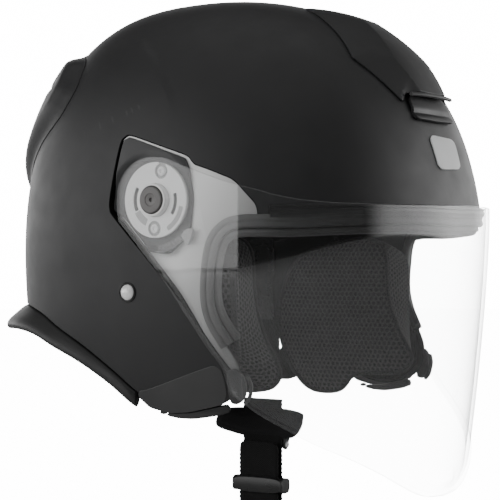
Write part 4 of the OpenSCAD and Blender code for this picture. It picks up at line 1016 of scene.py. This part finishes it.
def pad_mesh(sgn):
    pin, pout = io[:, :2], io[:, 2:]
    rings, uvs = [], []

    def px(p2):
        return np.minimum(sx(p2[:, 0], p2[:, 1]), sx(-40, p2[:, 1])) - 13.2
    perim = np.concatenate([[0], np.cumsum(np.linalg.norm(np.diff(np.vstack([pin, pin[:1]]), axis=0), axis=1))])[:-1]
    face = np.linspace(0, 1, 16)[1:]
    for s in face:                                     # inner (wearer) face
        q = ci + (pin - ci) * s * 0.985
        x = 72 + 5.2 * s ** 5 - 1.4 * (1 - s ** 2) * np.sin(q[:, 1] * 0.05)
        rings.append(np.stack([-(x + 0 * q[:, 0]), q[:, 0], q[:, 1]], -1)); uvs.append(q.copy())
    for t in np.linspace(0, 1, 14)[1:]:                # gusset, bulging
        q = pin * (1 - t) + pout * t; bul = math.sin(math.pi * t) * 1.6
        q = q + unit(q - ci) * bul * 0.6
        x = (72 + 5.2) * (1 - t) + px(pout) * t
        pos = np.stack([-x, q[:, 0], q[:, 1]], -1); rings.append(pos)
        uvs.append(np.stack([perim, 200 + t * 26 + 0 * perim], -1))
    for s in np.linspace(1, 0, 10)[1:]:                # back face
        q = ci + (pout - ci) * max(s, 0.02)
        rings.append(np.stack([-px(q), q[:, 0], q[:, 1]], -1)); uvs.append(q + [300, 0])
    R_ = A(rings); n, k, _ = R_.shape
    R_ = np.concatenate([R_, R_[:, :1]], 1); U_ = [np.vstack([u, u[:1] + ([perim[-1] + perim[1], 0] if 15 <= i < 28 else [0, 0])]) for i, u in enumerate(uvs)]
    V_ = R_.reshape(-1, 3); U_ = A(U_).reshape(-1, 2); k += 1; F_ = []
    for i in range(n - 1):
        for j in range(k - 1):
            F_.append([i * k + j, (i + 1) * k + j, (i + 1) * k + j + 1, i * k + j + 1])
    c0 = len(V_)
    V_ = np.vstack([V_, [[-72 + 0, ci[0], ci[1]]], [R_[-1].mean(0)]]); U_ = np.vstack([U_, [ci], [ci + [300, 0]]])
    for j in range(k - 1):
        F_.append([c0, j, j + 1]); F_.append([c0 + 1, (n - 1) * k + j + 1, (n - 1) * k + j])
    V_, F_ = orient(V_, F_)
    if sgn > 0:
        V_ = V_ * [-1, 1, 1]; F_ = [f[::-1] for f in F_]
    return V_, F_, U_


def tube(path, r, k=10, closed=True):
    p = A(path, float); n = len(p)
    t = unit(np.roll(p, -1, 0) - np.roll(p, 1, 0)) if closed else unit(p[np.minimum(np.arange(n) + 1, n - 1)] - p[np.maximum(np.arange(n) - 1, 0)])
    ref = A([1.0, 0.02, 0.03]); u = unit(ref - (t @ ref)[:, None] * t); w_ = np.cross(t, u)
    a = np.linspace(0, 2 * math.pi, k, endpoint=False)
    R_ = p[:, None] + r * (u[:, None] * np.cos(a)[None, :, None] + w_[:, None] * np.sin(a)[None, :, None])
    return strip(R_, loop=closed, caps=not closed)


pin, pout = io[:, :2], io[:, 2:]
seam = ci + (pin - ci) * 0.99
seam_p = np.stack([-(77.0 + 0 * seam[:, 0]), seam[:, 0], seam[:, 1]], -1)
for nm, sgn in (("right", -1), ("left", 1)):
    V, F, U = pad_mesh(sgn)
    o = make("cheek_pad_cover_" + nm, V, F, uv=U, mats=[M_pad], slot="pad_mesh", sharp=60)
    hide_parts("cheek_pad_" + nm)
    V, F = tube(seam_p * [1 if sgn < 0 else -1, 1, 1], 1.25)
    if sgn > 0:
        F = [q[::-1] for q in F]
    o2 = make("cheek_pad_piping_" + nm, V, F, mats=[M_pipe], slot="comfort_fabric", sharp=80)

# crown padding, headband and neck roll
D2, F2, n2_ = star_grid(liner_edge, 8, 44)


def quilt(D):
    a, e = to_azel(D); k = np.abs(np.sin(np.radians(a * 3.0))) ** 0.35
    m_ = np.clip((e - 30) / 12, 0, 1) * np.clip((86 - e) / 14, 0, 1)
    return 1.6 * (1 - (1 - k) * m_)


def crown(D):
    return S(D, -36.0 + 1.3 - quilt(D))


Vo_, No_ = S(D2, -31.6), d_normals(lambda d: S(d, -31.6), D2)
Vi_, Ni_ = crown(D2), d_normals(crown, D2)
Fo_ = turn(F2, Vo_, No_); k_ = len(D2)
Er = rim(Fo_)
mids = S(D2, -34.0) - azel(0, 90) * 1.6
Fr = np.vstack([np.stack([Er[:, 0], Er[:, 0] + 2 * k_, Er[:, 1] + 2 * k_], 1), np.stack([Er[:, 0], Er[:, 1] + 2 * k_, Er[:, 1]], 1),
                np.stack([Er[:, 0] + 2 * k_, Er[:, 0] + k_, Er[:, 1] + k_], 1), np.stack([Er[:, 0] + 2 * k_, Er[:, 1] + k_, Er[:, 1] + 2 * k_], 1)])
Fc, Vc, _ = compact(np.vstack([Fo_, Fo_[:, ::-1] + k_, Fr]), np.vstack([Vo_, Vi_, mids]))
o = make("crown_padding", Vc, Fc, mats=[M_knit], slot="comfort_fabric", sharp=70)
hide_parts("comfort_liner")
eh = full_edge(eps_edge, 8)
sec = chaikin([[1.5, -31.6], [9.3, -31.6], [9.6, -35], [8.6, -38.2], [5.5, -39.4], [2.4, -38.2], [1.3, -35]], 2)
V, F = strip(np.stack([SA(eh[:, 0], eh[:, 1] + u_, o_) for u_, o_ in sec], 1), loop=True)
o = make("headband", V, F, mats=[M_knit], slot="comfort_fabric", sharp=70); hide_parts("headband_pad")
an = np.linspace(118, 242, 140); mm_ = 180 - np.abs(180 - an)
en = np.interp(mm_, [118, 122, 135, 150, 165, 180], [-2.5, -1, 3.5, 7, 8.5, 9]); wn = np.minimum(1, (mm_ - 114) / 14)
cap_ = np.minimum(1, np.sqrt(np.clip((mm_ - 117.2) / 4, 0, 1)))
V, F = strip(np.stack([SA(an, en + 5.6 + 3.6 * wn * cap_ * math.sin(t), -15 - 9.5 * wn * cap_ * math.cos(t)) for t in np.linspace(0, 2 * math.pi, 36, endpoint=False)], 1))
o = make("neck_padding", V, F, mats=[M_knit], slot="comfort_fabric", sharp=70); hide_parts("neck_roll")

# ---------------------------------------------------------------- straps
def spline(P, n):
    P = A(P, float); m_ = len(P) - 1; out_ = []
    for i in range(m_):
        a, b, c, d = P[max(i - 1, 0)], P[i], P[i + 1], P[min(i + 2, m_)]
        for t in np.linspace(0, 1, n, endpoint=False):
            out_.append(cr(a, b, c, d, t))
    return A(out_ + [P[-1]])


def webbing(path, width, th, wdir, tip=None, serr=0.18):
    """band along a path; wdir gives the direction of its width at each point"""
    p = A(path, float); n = len(p)
    t = unit(p[np.minimum(np.arange(n) + 1, n - 1)] - p[np.maximum(np.arange(n) - 1, 0)])
    w0 = A(wdir, float); w0 = w0 if w0.ndim == 2 else np.repeat(w0[None], n, 0)
    wv = unit(w0 - (w0 * t).sum(1)[:, None] * t); nv = unit(np.cross(t, wv))
    L_ = np.concatenate([[0], np.cumsum(np.linalg.norm(np.diff(p, axis=0), axis=1))])
    hw = width / 2 + 0 * L_
    if serr:
        hw = hw + serr * np.sin(L_ * 2 * math.pi / 2.3)
    if tip:
        e_ = L_[-1] - L_; hw = np.where(e_ < tip, (width / 2 - 2.2) + 2.2 * np.sqrt(np.clip(1 - (1 - e_ / tip) ** 2, 0, 1)), hw)
    us = np.concatenate([np.linspace(-1, 1, 25), np.linspace(1, -1, 25)]); side = np.concatenate([np.ones(25), -np.ones(25)])
    R_, U_ = [], []
    for u_, s_ in zip(us, side):
        edge = 1 - 0.55 * np.clip((abs(u_) - 0.93) / 0.07, 0, 1)
        R_.append(p + wv * (u_ * hw)[:, None] + nv * (s_ * th / 2 * edge))
        U_.append(np.stack([u_ * hw + (0 if s_ > 0 else 60), L_], -1))
    R_ = np.stack(R_, 1); U_ = np.stack(U_, 1)
    V_, F_ = strip(R_)
    return V_, F_, U_.reshape(-1, 2), float(L_[-1])


def path_lean(up):
    P = spline(A(up, float), 8)
    return P[:, :3], np.stack([0 * P[:, 3], np.cos(np.radians(P[:, 3])), np.sin(np.radians(P[:, 3]))], -1)


up_r = [[-114, 2, -12, -9], [-114, 0, -24, -12], [-113.6, -4, -36, -22], [-112.2, -11, -47, -34], [-108.5, -20, -57, -42], [-103, -29, -66, -44], [-96.5, -38, -73, -36], [-88, -47, -76, -20], [-81, -54, -76, -4]]
up_l = [[114, -2, -12, 9], [114, 0, -24, 14], [113.2, 5, -36, 26], [108.5, 14, -52, 38], [97, 24, -69, 34], [84, 31, -78.5, 16], [74.5, 35, -81.8, 2]]
for nm, up in (("right", up_r), ("left", up_l)):
    P_, w_ = path_lean(up)
    V, F, U, L_ = webbing(P_, 25, 1.5, w_)
    o = make("strap_root_" + nm, V, F, uv=U, mats=[M_web], slot="webbing", sharp=60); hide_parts(nm + "_strap_upper")
TH = 1.55; FG = 2.4
x_o = -78 - TH / 2; rr = (FG + TH) / 2; cx = x_o - rr
down = [[x_o, -59.5, z] for z in np.linspace(-80.9, -136.0, 90)]
fold = [[cx + rr * math.cos(a), -59.5, -136.0 - rr * math.sin(a) * 1.02] for a in np.linspace(0, math.pi, 16)[1:]]
back_ = [[cx - rr, -59.5, z] for z in np.linspace(-136.0, -104.3, 60)[1:]]
V, F, U, L_ = webbing(down + fold + back_, 24.6, TH, [0, 1, 0], tip=5.0)
o = make("hanging_strap", V, F, uv=U, mats=[M_web], slot="webbing", sharp=60, body="right_strap"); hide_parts("right_strap")
strap_len = L_
# padded sleeve
sleeve = chaikin([[-85, -85.4], [-84, -95], [-80, -101], [-74, -102.8], [-50, -102.8], [-29, -98.8], [-27.6, -95], [-32, -86.2]], 3, True, .2)


def sl_x(y, z):
    q = np.stack([y, z], -1); d_ = -sdist(q, sleeve)
    return 78.0 + 0.9 + 1.15 * sstep(d_ / 4.0) - 0.35 * np.exp(-((d_ - 3.4) / 0.7) ** 2)


g = patch(sleeve, xpoint(sl_x), 3.0, bevel=0.7, step=0.8, ref=A([[-1.0, 0, 0]]))
o = make("strap_sleeve", *g, mats=[M_sleeve], slot="webbing", body="right_strap"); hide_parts("right_strap_pad")
V, F, U, L2_ = webbing([[70.0, 35, z] for z in np.linspace(-80.4, -21.8, 90)], 24.6, 1.5, [0, 1, 0])
o = make("stowed_strap", V, F, uv=U, mats=[M_web], slot="webbing", sharp=60, body="left_strap"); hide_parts("left_strap")

# three-bar adjuster
c_ = -78 - 1.6 - 1.2


def loop_pts(y0, y1, z0, z1, r):
    return chaikin([[y0, z0], [y1, z0], [y1, z1], [y0, z1]], 3, True, .18)


out_l = loop_pts(-75.5, -43.5, -131.5, -123.0, 2)
V1, F1, N1 = patch(out_l, xpoint(lambda y, z: 0 * y - c_ + 3.9 + 0.5 * np.cos((z + 127.25) * 0.33)), 1.3, bevel=0.55, step=0.6, ref=A([[-1.0, 0, 0]]))
g2_ = patch(out_l, lambda q, off=0.0: np.stack([c_ + 4.5 + off + 0 * q[:, 0], q[:, 0], q[:, 1]], -1), 1.3, bevel=0.55, step=0.6, ref=A([[1.0, 0, 0]]))
bars = [(V1, F1, N1), g2_]


def brick(x0, x1, y0, y1, z0, z1, r=0.6, k=6):
    """rounded bar along Y"""
    pr = chaikin([[x0, z0], [x1, z0], [x1, z1], [x0, z1]], 2, True, .2)
    return strip([[[x, y, z] for x, z in pr] for y in (y0, y1)])


V, F = merge((V1, F1.tolist()), (g2_[0], g2_[1].tolist()), brick(c_ - 4.2, c_ + 4.2, -75.4, -72.4, -131.3, -123.2), brick(c_ - 4.2, c_ + 4.2, -46.6, -43.6, -131.3, -123.2),
             brick(c_ - 0.85, c_ + 0.85, -74, -45, -130.4, -124.2))
o = make("adjuster", V, F, mats=[M_gloss], slot="buckle_black", sharp=40, body="strap_slider"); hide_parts("strap_slider")

# ---------------------------------------------------------------- buckle
pin1, pin2 = (-69.5, -99.0), (-72.2, -106.0)


def revolve_y(prof, x0, z0, n=40):
    """profile of [radius, y] about the Y axis through (x0, z0)"""
    V_, F_ = revolve([[r_, -y_] for r_, y_ in prof], 0, 0, n)
    return orient(np.stack([x0 + V_[:, 1], V_[:, 0], z0 + V_[:, 2]], -1), F_)


cheeks = []
for y0, y1 in ((-70.5, -69.3), (-49.7, -48.5)):
    pr = []
    for cxx, czz, r_, a0, a1 in ((pin1[0], pin1[1], 3.0, -60, 62), (-72.4, -89, 2.4, 62, 190), (pin2[0], pin2[1], 2.8, 190, 300)):
        for a in np.radians(np.linspace(a0, a1, 14)):
            pr.append([cxx + r_ * math.cos(a), czz + r_ * math.sin(a)])
    pr = A(pr); c0 = pr.mean(0); inn = c0 + (pr - c0) * .93
    cheeks.append(strip([[[x, y, z] for x, z in q] for q, y in ((inn, y0 - .15), (pr, y0 + .15), (pr, y1 - .15), (inn, y1 + .15))]))
cheeks.append(brick(-75.0, -74.1, -69.3, -49.7, -104, -87.5))
V, F = merge(*cheeks)
o = make("buckle_body", V, F, mats=[M_gloss], slot="buckle_black", sharp=35, body="right_strap"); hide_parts("buckle_frame")
pg = []
for p_ in (pin1, pin2):
    for s_, e_ in ((1, -71.5), (-1, -47.5)):
        i_ = e_ + s_ * 0.75
        pg.append(revolve_y([[.55, e_ + s_ * .55], [.6, e_ + s_ * .12], [1.1, e_], [1.5, e_ + s_ * .05], [1.7, e_ + s_ * .3], [1.7, i_], [.6, i_ + s_ * .03]], p_[0], p_[1]))
    pg.append(revolve_y([[.01, -70.9], [1.0, -70.9], [1.0, -48.1], [.01, -48.1]], p_[0], p_[1], 24))
V, F = merge(*pg)
o = make("buckle_rivets", V, F, mats=[M_white], slot="screw_steel", sharp=40, body="right_strap"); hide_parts("buckle_pins")
lv_ = merge(revolve_y([[.01, -68.9], [1.9, -68.9], [2.2, -68.5], [2.2, -50.5], [1.9, -50.1], [.01, -50.1]], pin1[0], pin1[1], 40),
            brick(-69.4, -67.9, -68.7, -50.3, -99, -87.0), brick(-68.9, -67.7, -68.7, -50.3, -103.4, -98.6))
o = make("lever", *lv_, mats=[M_gloss], slot="buckle_black", sharp=40, body="buckle_lever"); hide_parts("buckle_lever")
tb = chaikin([[-66.9, -104.0], [-52.1, -104.0], [-52.1, -98.6], [-66.9, -98.6]], 3, True, .16)
g = patch(tb, lambda q, off=0.0: np.stack([-66.0 + off - 0.45 * np.exp(-((np.abs(q[:, 1] + 102) % 1.4 - .7) / .35) ** 2) * (np.abs(q[:, 0] + 59.5) < 5.5), q[:, 0], q[:, 1]], -1), 1.25,
          bevel=0.35, step=0.5, ref=A([[1.0, 0, 0]]))
o = make("pull_tab", *g, mats=[M_red], slot="tab_red", body="buckle_lever"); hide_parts("buckle_pull_tab")

# ---------------------------------------------------------------- CAD pieces that are shown as they are
def dress(node, mat):
    ob = bpy.data.objects.get(node)
    if ob is None:
        raise RuntimeError("no CAD node " + node)
    while len(ob.material_slots) == 0:
        ob.data.materials.append(None)
    for s_ in ob.material_slots:
        s_.link = "OBJECT"; s_.material = mat


for node_, mat_ in (("eps_liner", M_foam), ("cheek_pad_snaps", M_gloss), ("strap_anchor_plates", M_steel), ("buckle_tongue", M_gloss)):
    dress(node_, mat_)

# ---------------------------------------------------------------- light and floor
wd = bpy.data.worlds.new("studio"); bpy.context.scene.world = wd; wd.use_nodes = True
nt = wd.node_tree; nt.nodes.clear()
lp = nt.nodes.new("ShaderNodeLightPath"); outw = nt.nodes.new("ShaderNodeOutputWorld")
gen = nt.nodes.new("ShaderNodeTexCoord").outputs["Generated"]


def lobe(az, el, a0, a1, k):
    """a soft pool of studio light: full inside a0 degrees of its axis, none beyond a1"""
    d_ = azel(az, el)
    dp = nt.nodes.new("ShaderNodeVectorMath"); dp.operation = "DOT_PRODUCT"; dp.inputs[1].default_value = tuple(float(q) for q in d_)
    nt.links.new(gen, dp.inputs[0])
    mr = nt.nodes.new("ShaderNodeMapRange"); mr.interpolation_type = "SMOOTHSTEP"
    nt.links.new(dp.outputs["Value"], mr.inputs[0])
    mr.inputs[1].default_value = math.cos(math.radians(a1)); mr.inputs[2].default_value = math.cos(math.radians(a0))
    mr.inputs[3].default_value = 0.0; mr.inputs[4].default_value = k
    return mr.outputs[0]


def total(ls):
    out_ = ls[0]
    for l_ in ls[1:]:
        out_ = math_(nt, "ADD", out_, l_)
    return out_


def level(src, lo_z, hi_z):
    """1 below lo_z, fading to 0 at hi_z up the sky"""
    sp = nt.nodes.new("ShaderNodeSeparateXYZ"); nt.links.new(gen, sp.inputs[0])
    mr = nt.nodes.new("ShaderNodeMapRange"); mr.interpolation_type = "SMOOTHSTEP"; nt.links.new(sp.outputs[2], mr.inputs[0])
    mr.inputs[1].default_value = lo_z; mr.inputs[2].default_value = hi_z; mr.inputs[3].default_value = 1.0; mr.inputs[4].default_value = 0.0
    return math_(nt, "MULTIPLY", src, mr.outputs[0])


light = total([level(lobe(-123, -6, 66, 118, 2.3), 0.12, 0.55),      # the white backdrop behind the helmet
               lobe(123, 2, 15, 44, 1.9),         # rear right
               lobe(-30, 0, 20, 42, 1.9),         # front left
               lobe(57, 80, 10, 60, 0.55),        # overhead
               lobe(57, 0, 170, 180, 0.0)])
light = math_(nt, "MULTIPLY", math_(nt, "ADD", light, 0.05), math_(nt, "SUBTRACT", 1.0, math_(nt, "MULTIPLY", lp.outputs["Is Diffuse Ray"], 0.45)))
bl = nt.nodes.new("ShaderNodeBackground"); bl.inputs[0].default_value = (1, 1, 1, 1); nt.links.new(light, bl.inputs[1])
bc = nt.nodes.new("ShaderNodeBackground"); bc.inputs[0].default_value = (1, 1, 1, 1); bc.inputs[1].default_value = 16.0
m2 = nt.nodes.new("ShaderNodeMixShader")
nt.links.new(lp.outputs["Is Camera Ray"], m2.inputs[0]); nt.links.new(bl.outputs[0], m2.inputs[1]); nt.links.new(bc.outputs[0], m2.inputs[2])
nt.links.new(m2.outputs[0], outw.inputs[0])


def softbox(name, az, el, dist, w, h, power, aim=(0, 0, 0)):
    """az as in the shell's directions: 0 front, 90 the wearer's right"""
    d_ = azel(az, el); l = bpy.data.lights.new(name, "AREA"); l.shape = "RECTANGLE"; l.size = w; l.size_y = h; l.energy = power
    l.specular_factor = 0.0 if hasattr(l, "specular_factor") else 1.0
    ob = bpy.data.objects.new(name, l); bpy.context.collection.objects.link(ob)
    ob.location = Vector(d_ * dist) + Vector(aim); ob.visible_glossy = False
    ob.rotation_euler = (Vector(aim) - ob.location).to_track_quat("-Z", "Y").to_euler()
    return ob


softbox("rear right softbox", 118, 12, 2.4, 1.6, 1.4, 14)
softbox("key softbox", 70, 30, 2.2, 1.4, 1.2, 8)

fm = bpy.data.meshes.new("floor"); r_ = 3.0; zf = -0.1405
fm.from_pydata([(r_ * math.cos(a), r_ * math.sin(a), zf) for a in np.linspace(0, 2 * math.pi, 96, endpoint=False)], [], [list(range(96))])
fo = bpy.data.objects.new("floor", fm); bpy.context.collection.objects.link(fo)
M_floor, nt, b_, out_ = nodes("floor pale"); co = coords(nt)
nt.links.new(ramp(nt, noise(nt, co, 6.0, 4), (0.86, 0.86, 0.86), (0.9, 0.9, 0.9)), b_.inputs["Base Color"]); b_.inputs["Roughness"].default_value = 0.9
b_.inputs["Specular IOR Level"].default_value = 0.1
em = nt.nodes.new("ShaderNodeEmission"); em.inputs[1].default_value = 15.5
lpf = nt.nodes.new("ShaderNodeLightPath"); mf = nt.nodes.new("ShaderNodeMixShader")
nt.links.new(math_(nt, "MULTIPLY", lpf.outputs["Is Camera Ray"], 0.97), mf.inputs[0])
nt.links.new(b_.outputs[0], mf.inputs[1]); nt.links.new(em.outputs[0], mf.inputs[2]); nt.links.new(mf.outputs[0], out_.inputs[0])
fm.materials.append(M_floor)


bpy.context.view_layer.update()
